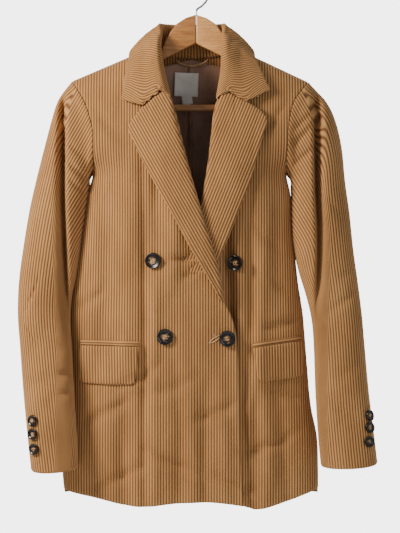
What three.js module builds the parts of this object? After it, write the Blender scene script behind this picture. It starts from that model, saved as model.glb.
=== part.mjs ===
// A double breasted corduroy blazer hanging on a wooden hanger, in millimetres, +Z up.
// Its front faces -Y, and right and left are the wearer's: the right side lies towards -X.
// The origin is the point of the hook that rests on the rail.
import * as THREE from 'three';

// ---------------------------------------------------------------- sizes
const CLOTH = 2;            // wall of the corduroy, with its nap
const LINING = 1.2;         // wall of the lining, the label and the loop
const SEAM = 0.3;           // gap between two pieces at a seam
const LAY = 2;             // room under a piece that lies on a panel
const MIDDLE = -9;          // the garment's centre line hangs a little to the right side
const ARMPIT = -312;
const HEM = -845;
const BACK_HEM = -832;
const ROUND = 2.5;          // power of the body's rounded section
const SLEEVE_ROUND = 2.2;
const NECK = { x: -6.5, half: 68.5, z: -106, dip: 6, dome: 50 };
const BUTTON = { radius: 13, thick: 5 };
const SHANK = 2;            // thread under a button
const CUFF_GAP = 2.0;
const CUFF_BUTTON = { radius: 9, thick: 4 };
const WOOD = 12;            // thickness of the hanger's arms
const WIRE = 3.6;
const HOOK_RADIUS = 18;     // inside the hook
const BAR = { radius: 5.5, z: -203, half: 163 };

// Body sections from the hem to the shoulder tips: half outlines on the right and the left,
// and the depth in front of and behind the hanger's plane. Above the armpit they give the armholes.
const SECTIONS = [
  { z: -845, right: -213, left: 199, front: 50, back: 42 },
  { z: -790, right: -218, left: 199, front: 52, back: 44 },
  { z: -740, right: -214, left: 197, front: 53, back: 45 },
  { z: -689, right: -205, left: 187, front: 54, back: 46 },
  { z: -600, right: -203, left: 179, front: 53, back: 45 },
  { z: -540, right: -202, left: 173, front: 52, back: 44 },
  { z: -488, right: -195, left: 163, front: 51, back: 42 },
  { z: -430, right: -185, left: 152, front: 54, back: 43 },
  { z: -390, right: -179.5, left: 149, front: 56, back: 44 },
  { z: -346, right: -172.5, left: 148, front: 58, back: 46 },
  { z: -312, right: -168, left: 147, front: 58, back: 46 },
  { z: -256, right: -167, left: 149, front: 58, back: 46 },
  { z: -238, right: -168, left: 150, front: 58, back: 46 },
  { z: -196, right: -181, left: 159, front: 58, back: 46 },
  { z: -161, right: -202, left: 184, front: 58, back: 46 },
];

// Height of the shoulder seams.
const SHOULDERS = [
  { x: -202, z: -160 },
  { x: -127, z: -128 },
  { x: -75, z: -106 },
  { x: 62, z: -105 },
  { x: 112, z: -128 },
  { x: 184, z: -162 },
];

// Free edges of the two fronts: front edge, roll line of the lapel, then the neck seam.
const FRONT_EDGE = {
  right: [
    { z: -850, x: 76 },
    { z: -733, x: 71 },
    { z: -593, x: 67 },
    { z: -547, x: 59 },
    { z: -514, x: 44 },
    { z: -482, x: 41 },
    { z: -446, x: 32 },
    { z: -377, x: 9 },
    { z: -278, x: -17 },
    { z: -209, x: -34 },
    { z: -170, x: -52 },
    { z: -140, x: -62 },
    { z: -118, x: -70 },
    { z: -106, x: -75 },
  ],
  left: [
    { z: -850, x: -68 },
    { z: -580, x: -68 },
    { z: -540, x: -60 },
    { z: -505, x: -44 },
    { z: -455, x: -25 },
    { z: -405, x: -8 },
    { z: -361, x: 7 },
    { z: -308, x: 17 },
    { z: -272, x: 22 },
    { z: -209, x: 29 },
    { z: -170, x: 43 },
    { z: -140, x: 51 },
    { z: -118, x: 58 },
    { z: -105, x: 62 },
  ],
};

// Lower edge of the fronts, across the garment.
const HEM_LINE = [
  { x: -213, z: -827 },
  { x: -162, z: -838 },
  { x: -96, z: -851 },
  { x: -34, z: -846 },
  { x: 23, z: -844 },
  { x: 75, z: -850 },
  { x: 97, z: -856 },
  { x: 134, z: -848 },
  { x: 199, z: -825 },
];

// Long soft folds of the fronts, each along a line from its top to its foot.
const FOLDS = [
  { topX: -86, topZ: -300, footX: -80, footZ: -860, depth: 4, width: 13 },
  { topX: -140, topZ: -330, footX: -150, footZ: -560, depth: 3, width: 16 },
  { topX: -30, topZ: -620, footX: -22, footZ: -860, depth: 3, width: 15 },
  { topX: 94, topZ: -330, footX: 84, footZ: -860, depth: 4, width: 13 },
  { topX: 132, topZ: -640, footX: 140, footZ: -860, depth: 4, width: 16 },
];
const SIDE_VALLEY = { topX: 56, topZ: -370, footX: 54, footZ: -560, depth: 9, width: 12 };

// Lapels from the gorge to the break: the roll line and the outer edge.
const LAPELS = {
  right: [
    { rollX: -41, rollZ: -190.6, edgeX: -110, edgeZ: -236 },
    { rollX: -34, rollZ: -211, edgeX: -109, edgeZ: -250 },
    { rollX: -26, rollZ: -240, edgeX: -97, edgeZ: -272 },
    { rollX: -17, rollZ: -278, edgeX: -80, edgeZ: -307 },
    { rollX: -4, rollZ: -333, edgeX: -50, edgeZ: -360 },
    { rollX: 9, rollZ: -377, edgeX: -22, edgeZ: -406 },
    { rollX: 31, rollZ: -446, edgeX: 8, edgeZ: -453 },
    { rollX: 40, rollZ: -482, edgeX: 27, edgeZ: -486 },
    { rollX: 43, rollZ: -512, edgeX: 39, edgeZ: -514 },
  ],
  left: [
    { rollX: 33, rollZ: -192.6, edgeX: 115, edgeZ: -223 },
    { rollX: 29, rollZ: -211, edgeX: 114, edgeZ: -237 },
    { rollX: 26, rollZ: -240, edgeX: 108, edgeZ: -258 },
    { rollX: 22, rollZ: -272, edgeX: 100, edgeZ: -286 },
    { rollX: 16, rollZ: -318, edgeX: 84, edgeZ: -338 },
    { rollX: 7, rollZ: -361, edgeX: 68, edgeZ: -378 },
    { rollX: -8, rollZ: -405, edgeX: 50, edgeZ: -418 },
    { rollX: -24, rollZ: -450, edgeX: 28, edgeZ: -462 },
    { rollX: -36, rollZ: -485, edgeX: -6, edgeZ: -490 },
  ],
};
// The gorge seam and the notch: shares of the way from the roll line to the outer edge, and the
// rise there of the lapel's top edge and of the collar's end above their straight chords.
const GORGE = {
  right: [
    { lapelShare: 0, lapelRise: 0, collarShare: 0, collarRise: 0 },
    { lapelShare: 0.24, lapelRise: 23.7, collarShare: 0.22, collarRise: 12.3 },
    { lapelShare: 0.62, lapelRise: 15.4, collarShare: 0.56, collarRise: -12.1 },
    { lapelShare: 1, lapelRise: 0, collarShare: 1, collarRise: 0 },
  ],
  left: [
    { lapelShare: 0, lapelRise: 0, collarShare: 0, collarRise: 0 },
    { lapelShare: 0.24, lapelRise: 20.1, collarShare: 0.22, collarRise: 8.5 },
    { lapelShare: 0.62, lapelRise: 14.1, collarShare: 0.56, collarRise: -13.4 },
    { lapelShare: 1, lapelRise: 0, collarShare: 1, collarRise: 0 },
  ],
};

// Collar from the centre back to its front end. side says whether its edge lies on the back (1),
// on the shoulder (0) or on the front (-1).
const COLLAR = {
  right: [
    { foldX: -6, foldY: 27, foldZ: -66, edgeX: -6, edgeZ: -134, seamX: -6, seamZ: -111.4, side: 1 },
    { foldX: -36, foldY: 24, foldZ: -66, edgeX: -56, edgeZ: -131, seamX: -42, seamZ: -109.5, side: 1 },
    { foldX: -54, foldY: 12, foldZ: -66, edgeX: -92, edgeZ: -123, seamX: -66, seamZ: -106, side: 1 },
    { foldX: -60, foldY: -3, foldZ: -68, edgeX: -108, edgeZ: -110, seamX: -73, seamZ: -104.8, side: 0 },
    { foldX: -58, foldY: -20, foldZ: -86, edgeX: -112, edgeZ: -127, seamX: -68, seamZ: -120, side: -1 },
    { foldX: -56, foldY: -34, foldZ: -114, edgeX: -115, edgeZ: -146, seamX: -60.5, seamZ: -140, side: -1 },
    { foldX: -51, foldY: -43, foldZ: -146, edgeX: -118, edgeZ: -168, seamX: -52, seamZ: -165, side: -1 },
    { foldX: -41, foldY: -53, foldZ: -189, edgeX: -121, edgeZ: -192, seamX: -40.5, seamZ: -194, side: -1 },
  ],
  left: [
    { foldX: -6, foldY: 27, foldZ: -66, edgeX: -6, edgeZ: -134, seamX: -6, seamZ: -111.4, side: 1 },
    { foldX: 23, foldY: 24, foldZ: -66, edgeX: 43, edgeZ: -131, seamX: 30, seamZ: -109.5, side: 1 },
    { foldX: 41, foldY: 12, foldZ: -66, edgeX: 78, edgeZ: -122, seamX: 53, seamZ: -106, side: 1 },
    { foldX: 47, foldY: -3, foldZ: -68, edgeX: 94, edgeZ: -109, seamX: 60, seamZ: -104, side: 0 },
    { foldX: 45, foldY: -20, foldZ: -86, edgeX: 99, edgeZ: -126, seamX: 56, seamZ: -120, side: -1 },
    { foldX: 42, foldY: -34, foldZ: -114, edgeX: 106, edgeZ: -142, seamX: 49.5, seamZ: -140, side: -1 },
    { foldX: 40, foldY: -44, foldZ: -148, edgeX: 113, edgeZ: -158, seamX: 43, seamZ: -165, side: -1 },
    { foldX: 33, foldY: -54, foldZ: -191, edgeX: 120, edgeZ: -176, seamX: 34, seamZ: -194, side: -1 },
  ],
};
const COLLAR_LIFT = 6;

// Sleeves from the armhole to the cuff: outer and inner outline, centre, depths, and the long
// trough on the front, which lies at a share of the half width.
const SLEEVES = {
  right: [
    { outX: -202, outZ: -160, inX: -168.5, inZ: -311, y: 0, front: 38, back: 32, trough: 0, at: 1 },
    { outX: -215, outZ: -173, inX: -171, inZ: -320, y: 0, front: 42, back: 36, trough: 10, at: 0.95 },
    { outX: -226, outZ: -192, inX: -173, inZ: -331, y: 0, front: 43, back: 38, trough: 20, at: 0.62 },
    { outX: -236, outZ: -226, inX: -175, inZ: -346, y: -1, front: 43, back: 39, trough: 26, at: 0.34 },
    { outX: -247, outZ: -268, inX: -178, inZ: -364, y: -2, front: 43, back: 39, trough: 28, at: 0.1 },
    { outX: -260, outZ: -320, inX: -182, inZ: -390, y: -4, front: 42, back: 38, trough: 28, at: -0.13 },
    { outX: -271, outZ: -370, inX: -187, inZ: -424, y: -7, front: 41, back: 37, trough: 26, at: -0.36 },
    { outX: -281, outZ: -432, inX: -194, inZ: -470, y: -12, front: 40, back: 36, trough: 20, at: -0.59 },
    { outX: -288, outZ: -490, inX: -203, inZ: -514, y: -18, front: 38, back: 34, trough: 8, at: -0.7 },
    { outX: -289, outZ: -540, inX: -205, inZ: -552, y: -24, front: 37, back: 33, trough: 0, at: -0.7 },
    { outX: -285, outZ: -590, inX: -202, inZ: -596, y: -31, front: 36, back: 32, trough: 0, at: -0.7 },
    { outX: -279, outZ: -663, inX: -198, inZ: -666, y: -41, front: 34, back: 30, trough: 0, at: -0.7 },
    { outX: -271, outZ: -738, inX: -193, inZ: -738, y: -52, front: 32, back: 28, trough: 0, at: -0.7 },
    { outX: -265, outZ: -790, inX: -191, inZ: -785, y: -58, front: 31, back: 27, trough: 0, at: -0.7 },
  ],
  left: [
    { outX: 184, outZ: -162, inX: 147.5, inZ: -311, y: 0, front: 38, back: 32, trough: 0, at: 0.8 },
    { outX: 200, outZ: -177, inX: 151, inZ: -320, y: 0, front: 42, back: 36, trough: 10, at: 0.55 },
    { outX: 215, outZ: -196, inX: 154, inZ: -331, y: 0, front: 43, back: 38, trough: 20, at: 0.15 },
    { outX: 229, outZ: -230, inX: 156, inZ: -346, y: -1, front: 43, back: 39, trough: 26, at: -0.07 },
    { outX: 238, outZ: -272, inX: 155, inZ: -364, y: -2, front: 43, back: 39, trough: 28, at: -0.17 },
    { outX: 243, outZ: -324, inX: 155.5, inZ: -390, y: -4, front: 42, back: 38, trough: 28, at: -0.2 },
    { outX: 250, outZ: -376, inX: 158, inZ: -424, y: -7, front: 41, back: 37, trough: 26, at: -0.27 },
    { outX: 256, outZ: -436, inX: 168, inZ: -470, y: -12, front: 40, back: 36, trough: 20, at: -0.49 },
    { outX: 264, outZ: -496, inX: 181, inZ: -514, y: -18, front: 38, back: 34, trough: 8, at: -0.7 },
    { outX: 269, outZ: -540, inX: 189, inZ: -552, y: -24, front: 37, back: 33, trough: 0, at: -0.7 },
    { outX: 273, outZ: -590, inX: 192, inZ: -596, y: -31, front: 36, back: 32, trough: 0, at: -0.7 },
    { outX: 279, outZ: -663, inX: 194, inZ: -666, y: -41, front: 34, back: 30, trough: 0, at: -0.7 },
    { outX: 287, outZ: -734, inX: 198, inZ: -738, y: -52, front: 32, back: 28, trough: 0, at: -0.7 },
    { outX: 292, outZ: -779, inX: 202, inZ: -783, y: -58, front: 31, back: 27, trough: 0, at: -0.7 },
  ],
};
const TROUGH_WIDTH = 0.24;
const CUFF_DROP = 6;

// Pockets: the flap's top edge and foot, from the front towards the side.
const POCKETS = {
  right: { frontX: -91, frontZ: -592, sideX: -189, sideZ: -590, footFrontX: -98, footSideX: -191, length: 61 },
  left: { frontX: 91, frontZ: -594, sideX: 173, sideZ: -583, footFrontX: 101, footSideX: 178, length: 56 },
};
const WELT = 9;
const POCKET_LAY = 1.7;     // room under the flaps and the welts

// Front buttons, with the front whose face each one lies on and its gap to the form there.
const BUTTONS = [
  { name: 'button_upper_right', on: 'right', x: -67, z: -453, gap: 0 },
  { name: 'button_lower_right', on: 'right', x: -50, z: -576, gap: 0.7 },
  { name: 'button_upper_left', on: 'left', x: 66, z: -456, gap: 0.7 },
  { name: 'button_lower_left', on: 'right', x: 50, z: -579, gap: 0.7 },
];
const CUFF_BUTTONS = [
  { name: 'cuff_button_right_1', side: 'right', x: -262, z: -710 },
  { name: 'cuff_button_right_2', side: 'right', x: -260, z: -732 },
  { name: 'cuff_button_right_3', side: 'right', x: -257, z: -754 },
  { name: 'cuff_button_left_1', side: 'left', x: 276, z: -701 },
  { name: 'cuff_button_left_2', side: 'left', x: 277, z: -723 },
  { name: 'cuff_button_left_3', side: 'left', x: 276, z: -745 },
];

const PAINT = {
  corduroy: { color: 0xb98a5c, roughness: 0.95, metalness: 0 },
  satin: { color: 0x7c5a3c, roughness: 0.45, metalness: 0 },
  tape: { color: 0xb99a70, roughness: 0.8, metalness: 0 },
  label: { color: 0xcfc9bf, roughness: 0.8, metalness: 0 },
  horn: { color: 0x2a1d15, roughness: 0.3, metalness: 0 },
  beech: { color: 0xc48c55, roughness: 0.5, metalness: 0 },
  chrome: { color: 0xc8c8c8, roughness: 0.15, metalness: 1 },
};

// ---------------------------------------------------------------- reading the tables
const clamp = THREE.MathUtils.clamp;
const lerp = THREE.MathUtils.lerp;
const smooth = (value, from, to) => THREE.MathUtils.smoothstep(value, from, to);

// One column of a table, read smoothly at a place along another column that rises.
function read(rows, along, column, place) {
  const last = rows.length - 1;
  if (place <= rows[0][along]) return rows[0][column];
  if (place >= rows[last][along]) return rows[last][column];
  let i = 0;
  while (place > rows[i + 1][along]) i += 1;
  const slope = (j) => {
    const before = rows[Math.max(j - 1, 0)];
    const after = rows[Math.min(j + 1, last)];
    return (after[column] - before[column]) / (after[along] - before[along]);
  };
  const span = rows[i + 1][along] - rows[i][along];
  const t = (place - rows[i][along]) / span;
  const bend = t * t * (3 - 2 * t);
  const start = slope(i) * span * t * (1 - t) * (1 - t);
  const end = slope(i + 1) * span * t * t * (1 - t);
  return lerp(rows[i][column], rows[i + 1][column], bend) + start - end;
}

// One column of a table, read straight between its rows.
function readStraight(rows, along, column, place) {
  let i = 0;
  while (i < rows.length - 2 && place > rows[i + 1][along]) i += 1;
  const t = (place - rows[i][along]) / (rows[i + 1][along] - rows[i][along]);
  return lerp(rows[i][column], rows[i + 1][column], clamp(t, 0, 1));
}

// One column of a table, read smoothly at a row number that may lie between two rows.
function readRow(rows, column, place) {
  const numbered = rows.map((row, number) => ({ number, value: row[column] }));
  return read(numbered, 'number', 'value', place);
}

// ---------------------------------------------------------------- the body's form
// Height of the form over a place: the shoulder seams, with a dome where the neck opens.
function shoulderZ(x) {
  const seam = readStraight(SHOULDERS, 'x', 'z', x);
  const across = Math.min(Math.abs(x - NECK.x) / NECK.half, 1);
  return seam + NECK.dome * Math.sqrt(1 - across * across);
}

// Top edge of the backs: the neck seam, then the shoulder seams.
function backTopZ(x) {
  const across = Math.abs(x - NECK.x) / NECK.half;
  if (across >= 1) return shoulderZ(x);
  return NECK.z - NECK.dip * (1 - across * across);
}

function foldAt(fold, x, z) {
  const along = clamp((z - fold.topZ) / (fold.footZ - fold.topZ), 0, 1);
  const off = (x - lerp(fold.topX, fold.footX, along)) / fold.width;
  const ends = Math.sin(Math.PI * clamp((fold.topZ - z) / (fold.topZ - fold.footZ + 60), 0, 1));
  return fold.depth * Math.exp(-off * off) * Math.sqrt(ends);
}

// y of the form at a place: face -1 is the front and 1 is the back.
function bodyY(x, z, face) {
  const edge = read(SECTIONS, 'z', x < MIDDLE ? 'right' : 'left', z);
  const widen = 1 + 0.45 * smooth(z, ARMPIT, ARMPIT + 60);
  const across = Math.min(Math.abs((x - MIDDLE) / ((edge - MIDDLE) * widen)), 1);
  const section = Math.pow(1 - Math.pow(across, ROUND), 1 / ROUND);
  const rise = clamp((z - ARMPIT) / (shoulderZ(x) - ARMPIT), 0, 1);
  const depth = read(SECTIONS, 'z', face < 0 ? 'front' : 'back', z);
  const folds = FOLDS.reduce((sum, fold) => sum + foldAt(fold, x, z), 0) * section;
  return face * (depth * section * Math.sqrt(1 - rise * rise) - folds + SEAM / 2);
}

// How far the lapping front stands off the form, over the other front and its lapel.
function lapLift(x, z) {
  const crossing = smooth(z, -560, -495) * (1 - smooth(z, -380, -300));
  return (4.5 + 6 * crossing) * smooth(x, -150, -60);
}

const frontLift = (side, x, z) => (side === 'right' ? lapLift(x, z) : 0);

function frontY(side, x, z) {
  const valley = side === 'left' ? foldAt(SIDE_VALLEY, x, z) : 0;
  return bodyY(x, z, -1) - frontLift(side, x, z) + valley;
}

// A point of a front or a back. s runs from the free edge or centre seam to the side, t from the
// hem to the shoulder. Above the armpit the rows bend over to the shoulder seam.
const ARMPIT_T = 0.62;

function heightOnPanel(across, topZ, t) {
  const turn = clamp((t - ARMPIT_T) / (1 - ARMPIT_T), 0, 1);
  let low = ARMPIT;
  let high = NECK.z + NECK.dome;
  for (let pass = 0; pass < 40; pass += 1) {
    const z = (low + high) / 2;
    const x = across(z);
    const reach = shoulderZ(x) - ARMPIT;
    const full = Math.asin(clamp((topZ(x) - ARMPIT) / reach, 0, 1));
    if (z - ARMPIT < reach * Math.sin(turn * full)) low = z;
    else high = z;
  }
  return (low + high) / 2;
}

function panelXZ(inner, outer, hemZ, topZ, s, t) {
  const share = Math.sin(s * Math.PI / 2);
  const across = (z) => lerp(inner(z), outer(z), share);
  if (t >= ARMPIT_T) {
    const z = heightOnPanel(across, topZ, t);
    return [across(z), z];
  }
  const level = t / ARMPIT_T;
  const straight = lerp(HEM, ARMPIT, level);
  const z = straight + (hemZ(across(straight)) - HEM) * (1 - level) ** 2;
  return [across(z), z];
}

function frontPoint(side, s, t) {
  const inner = (z) => read(FRONT_EDGE[side], 'z', 'x', z);
  const outer = (z) => read(SECTIONS, 'z', side, z);
  const hemZ = (x) => read(HEM_LINE, 'x', 'z', x);
  const [x, z] = panelXZ(inner, outer, hemZ, shoulderZ, s, t);
  return new THREE.Vector3(x, frontY(side, x, z), z);
}

function backPoint(side, s, t) {
  const away = side === 'right' ? -1 : 1;
  const inner = () => MIDDLE + away * SEAM / 2;
  const outer = (z) => read(SECTIONS, 'z', side, z);
  const [x, z] = panelXZ(inner, outer, () => BACK_HEM, backTopZ, s, t);
  return new THREE.Vector3(x, bodyY(x, z, 1), z);
}

// ---------------------------------------------------------------- walls of cloth
// A closed wall from a grid of points on its outer face. point(a, b) gives them for a and b from
// 0 to 1, face is 1 or -1 for the way out, steer may turn the direction of the thickness, and trim
// may move a point of the inner face.
function clothWall(point, columns, rows, thick, face, { steer, trim, beyond } = {}) {
  const outside = [];
  const inside = [];
  const limit = (value) => (beyond ? value : clamp(value, 0, 1));
  for (let j = 0; j <= rows.length - 1; j += 1) {
    for (let i = 0; i <= columns.length - 1; i += 1) {
      const a = columns[i];
      const b = rows[j];
      const here = point(a, b);
      const along = point(limit(a + 0.01), b).sub(point(limit(a - 0.01), b));
      const up = point(a, clamp(b + 0.01, 0, 1)).sub(point(a, clamp(b - 0.01, 0, 1)));
      const way = along.cross(up).normalize().multiplyScalar(-face);
      if (steer) steer(way, a, b);
      const under = here.clone().addScaledVector(way.normalize(), thick);
      if (trim) trim(under);
      outside.push(here);
      inside.push(under);
    }
  }
  return wallBetween(outside, inside, columns.length, rows.length, face);
}

function wallBetween(outside, inside, wide, high, face) {
  const points = [...outside, ...inside];
  const flat = points.flatMap((point) => point.toArray());
  const under = outside.length;
  const index = [];
  const quad = (a, b, c, d) => {
    if (face > 0) index.push(a, b, c, a, c, d);
    else index.push(a, c, b, a, d, c);
  };
  for (let j = 0; j < high - 1; j += 1) {
    for (let i = 0; i < wide - 1; i += 1) {
      const corner = j * wide + i;
      quad(corner, corner + 1, corner + wide + 1, corner + wide);
      quad(under + corner, under + corner + wide, under + corner + wide + 1, under + corner + 1);
    }
  }
  for (let i = 0; i < wide - 1; i += 1) {
    const top = (high - 1) * wide + i;
    quad(i, under + i, under + i + 1, i + 1);
    quad(top, top + 1, under + top + 1, under + top);
  }
  for (let j = 0; j < high - 1; j += 1) {
    const start = j * wide;
    const end = start + wide - 1;
    quad(start, start + wide, under + start + wide, under + start);
    quad(end, under + end, under + end + wide, end + wide);
  }
  const geometry = new THREE.BufferGeometry();
  geometry.setAttribute('position', new THREE.Float32BufferAttribute(flat, 3));
  geometry.setIndex(index);
  geometry.computeVertexNormals();
  return geometry;
}

const steps = (count) => Array.from({ length: count + 1 }, (unused, i) => i / count);

const blazer = new THREE.Group();

function addPiece(name, geometry, paint) {
  const material = new THREE.MeshStandardMaterial(PAINT[paint]);
  const mesh = new THREE.Mesh(geometry, material);
  mesh.name = name;
  blazer.add(mesh);
  return mesh;
}

// ---------------------------------------------------------------- fronts and backs
// At the side and shoulder seams the wall goes straight in, so that both pieces stay clear.
function steerPanel(side) {
  const away = side === 'right' ? -1 : 1;
  return (way, s, t) => {
    if (t > 0.999 || (s > 0.999 && t <= ARMPIT_T)) way.y = 0;
    if (s > 0.999 && way.x * away > 0) way.x = 0;
  };
}

// Keeps the inner face of a panel on its own side of the side and shoulder seams.
const trimPanel = (face) => (under) => {
  under.y = face * Math.max(under.y * face, SEAM / 2);
};

const PANEL_COLUMNS = steps(14);
const PANEL_ROWS = [0, 0.07, 0.14, 0.21, 0.28, 0.35, 0.42, 0.49, 0.56, 0.62, 0.66, 0.72, 0.78, 0.84,
  0.9, 0.95, 1];

for (const side of ['right', 'left']) {
  const turned = side === 'right' ? -1 : 1;
  const front = (s, t) => frontPoint(side, s, t);
  const back = (s, t) => backPoint(side, s, t);
  const steer = steerPanel(side);
  const steerBack = (way, s, t) => {
    if (s < 0.001) way.x = 0;
    steer(way, s, t);
  };
  const frontWays = { steer, trim: trimPanel(-1) };
  const backWays = { steer: steerBack, trim: trimPanel(1) };
  addPiece(`front_${side}`, clothWall(front, PANEL_COLUMNS, PANEL_ROWS, CLOTH, turned, frontWays), 'corduroy');
  addPiece(`back_${side}`, clothWall(back, PANEL_COLUMNS, PANEL_ROWS, CLOTH, -turned, backWays), 'corduroy');
}

// ---------------------------------------------------------------- sleeves
// The armhole, as a loop: angle 0 is the shoulder tip, a quarter turn the front, a half the armpit.
function armholePoint(side, angle) {
  const turn = Math.abs(((angle + Math.PI * 3) % (Math.PI * 2)) - Math.PI) / Math.PI;
  const front = Math.sin(angle) >= 0;
  const t = lerp(1, ARMPIT_T, turn);
  const point = front ? frontPoint(side, 1, t) : backPoint(side, 1, t);
  const away = side === 'right' ? -1 : 1;
  point.x += away * 0.45;
  point.z += 0.3 * turn;
  return point;
}

// The section at a row: a rounded ring with the trough on its front.
function sleeveRing(side, angle, row) {
  const rows = SLEEVES[side];
  const outer = new THREE.Vector3(readRow(rows, 'outX', row), 0, readRow(rows, 'outZ', row));
  const inner = new THREE.Vector3(readRow(rows, 'inX', row), 0, readRow(rows, 'inZ', row));
  const power = 2 / SLEEVE_ROUND;
  const across = Math.sign(Math.cos(angle)) * Math.pow(Math.abs(Math.cos(angle)), power);
  const out = Math.pow(Math.abs(Math.sin(angle)), power);
  const point = inner.clone().lerp(outer, (1 + across) / 2);
  const front = Math.sin(angle) >= 0;
  const off = (across - readRow(rows, 'at', row)) / TROUGH_WIDTH;
  const trough = readRow(rows, 'trough', row) * Math.exp(-off * off) * out;
  point.y = readRow(rows, 'y', row);
  if (front) point.y -= readRow(rows, 'front', row) * out - trough;
  else point.y += readRow(rows, 'back', row) * out;
  point.z -= CUFF_DROP * out * smooth(row, 9, 13);
  return point;
}

function sleevePoint(side, angle, t) {
  const last = SLEEVES[side].length - 1;
  const row = t * last;
  const blend = smooth(row, 0, 2.6);
  const loop = armholePoint(side, angle);
  if (row === 0) return loop;
  const top = SLEEVES[side][0];
  const shift = new THREE.Vector3(
    (readRow(SLEEVES[side], 'outX', row) + readRow(SLEEVES[side], 'inX', row) - top.outX - top.inX) / 2,
    readRow(SLEEVES[side], 'y', row),
    (readRow(SLEEVES[side], 'outZ', row) + readRow(SLEEVES[side], 'inZ', row) - top.outZ - top.inZ) / 2,
  );
  return loop.add(shift).lerp(sleeveRing(side, angle, row), blend);
}

// The top sleeve runs from the hind seam over the front to the inner seam, the under sleeve on
// behind. The hind seam turns from the back of the armhole to the outer edge at the cuff.
const hindSeam = (t) => lerp(-1.1, 0.25, smooth(t, 0, 0.8));
const INNER_SEAM = 3.4;
const SLEEVE_GAP = 0.004;

const SLEEVE_ROWS = [0, 0.025, 0.06, 0.11, 0.17, 0.24, 0.31, 0.39, 0.47, 0.55, 0.63, 0.74, 0.87, 1];

for (const side of ['right', 'left']) {
  const away = side === 'right' ? -1 : 1;
  const steer = (way, a, t) => {
    if (t < 0.001 && way.x * away < 0) way.x = 0;
  };
  const ways = { steer, beyond: true };
  const topSleeve = (a, t) => sleevePoint(side,
    lerp(hindSeam(t) + SLEEVE_GAP, INNER_SEAM - SLEEVE_GAP, a), t);
  const underSleeve = (a, t) => sleevePoint(side,
    lerp(INNER_SEAM + SLEEVE_GAP, hindSeam(t) + Math.PI * 2 - SLEEVE_GAP, a), t);
  addPiece(`top_sleeve_${side}`,
    clothWall(topSleeve, steps(16), SLEEVE_ROWS, CLOTH, -away, ways), 'corduroy');
  addPiece(`under_sleeve_${side}`,
    clothWall(underSleeve, steps(9), SLEEVE_ROWS, CLOTH, -away, ways), 'corduroy');
}

// ---------------------------------------------------------------- lapels
// At the gorge seam the walls of the lapel and the collar both go straight back.
function steerGorge(way, atSeam) {
  if (atSeam) way.set(0, 1, 0);
}

const LAPEL_COLUMNS = [0, 0.12, 0.24, 0.43, 0.62, 0.82, 1];

function lapelPoint(side, s, t) {
  const rows = LAPELS[side];
  const row = t * (rows.length - 1);
  const x = lerp(readRow(rows, 'rollX', row), readRow(rows, 'edgeX', row), s);
  const straight = lerp(readRow(rows, 'rollZ', row), readRow(rows, 'edgeZ', row), s);
  const top = readStraight(GORGE[side], 'lapelShare', 'lapelRise', s) * (1 - smooth(row, 0, 2));
  const z = straight + top - 0.6;
  const lift = frontLift(side, x, z) + CLOTH + LAY + 0.6 + 2 * s;
  return new THREE.Vector3(x, bodyY(x, z, -1) - lift, z);
}

for (const side of ['right', 'left']) {
  const point = (s, t) => lapelPoint(side, s, t);
  const face = side === 'right' ? 1 : -1;
  const ways = { steer: (way, a, t) => steerGorge(way, t < 0.001) };
  addPiece(`lapel_${side}`, clothWall(point, LAPEL_COLUMNS, steps(12), CLOTH, face, ways), 'corduroy');
}

// ---------------------------------------------------------------- collar
// t runs from the right front end (-1) round the back to the left front end (1).
function collarRow(t) {
  const side = t < 0 ? 'right' : 'left';
  const rows = COLLAR[side];
  const row = Math.abs(t) * (rows.length - 1);
  const value = (column) => readRow(rows, column, row);
  const face = value('side');
  const fold = new THREE.Vector3(value('foldX'), value('foldY'), value('foldZ'));
  const lieY = (x, z) => face * Math.abs(bodyY(x, z, face < 0 ? -1 : 1));
  const edge = new THREE.Vector3(value('edgeX'), 0, value('edgeZ'));
  edge.y = lieY(edge.x, edge.z) + face * COLLAR_LIFT;
  const seam = new THREE.Vector3(value('seamX'), 0, value('seamZ'));
  seam.y = lieY(seam.x, seam.z);
  return { side, row, fold, edge, seam };
}

function leafPoint(s, t) {
  const { side, row, fold, edge } = collarRow(t);
  const point = fold.clone().lerp(edge, s);
  const end = smooth(row, 5.2, 7);
  point.z += readStraight(GORGE[side], 'collarShare', 'collarRise', s) * end;
  point.z += 5 * Math.sin(Math.PI * s) * (1 - end);
  const lying = frontY(side, point.x, point.z) - CLOTH - LAY - 2 * s;
  point.y = lerp(point.y, Math.min(point.y, lying), smooth(row, 3.5, 4.5));
  return point;
}

// The stand reaches down from the fold to the neck seam, and ends where the roll line begins.
const STAND_REACH = 0.66;

function standPoint(s, t) {
  const { fold, seam } = collarRow(t * STAND_REACH);
  const inwards = (point, share) => {
    point.x = lerp(point.x, NECK.x, share);
    point.y *= 1 - 2 * share;
    return point;
  };
  const top = inwards(fold, 0.07);
  top.z -= 5.5;
  return top.lerp(inwards(seam, 0.03), s);
}

const fromEnds = (point) => (s, a) => point(s, a * 2 - 1);
const LEAF_COLUMNS = [0, 0.11, 0.22, 0.39, 0.56, 0.78, 1];
const collarWays = { steer: (way, s, a) => steerGorge(way, a < 0.001 || a > 0.999) };
const leaf = clothWall(fromEnds(leafPoint), LEAF_COLUMNS, steps(28), CLOTH, -1, collarWays);
addPiece('collar', leaf, 'corduroy');
addPiece('collar_stand', clothWall(fromEnds(standPoint), [0, 0.5, 1], steps(24), CLOTH, 1), 'corduroy');

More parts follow.
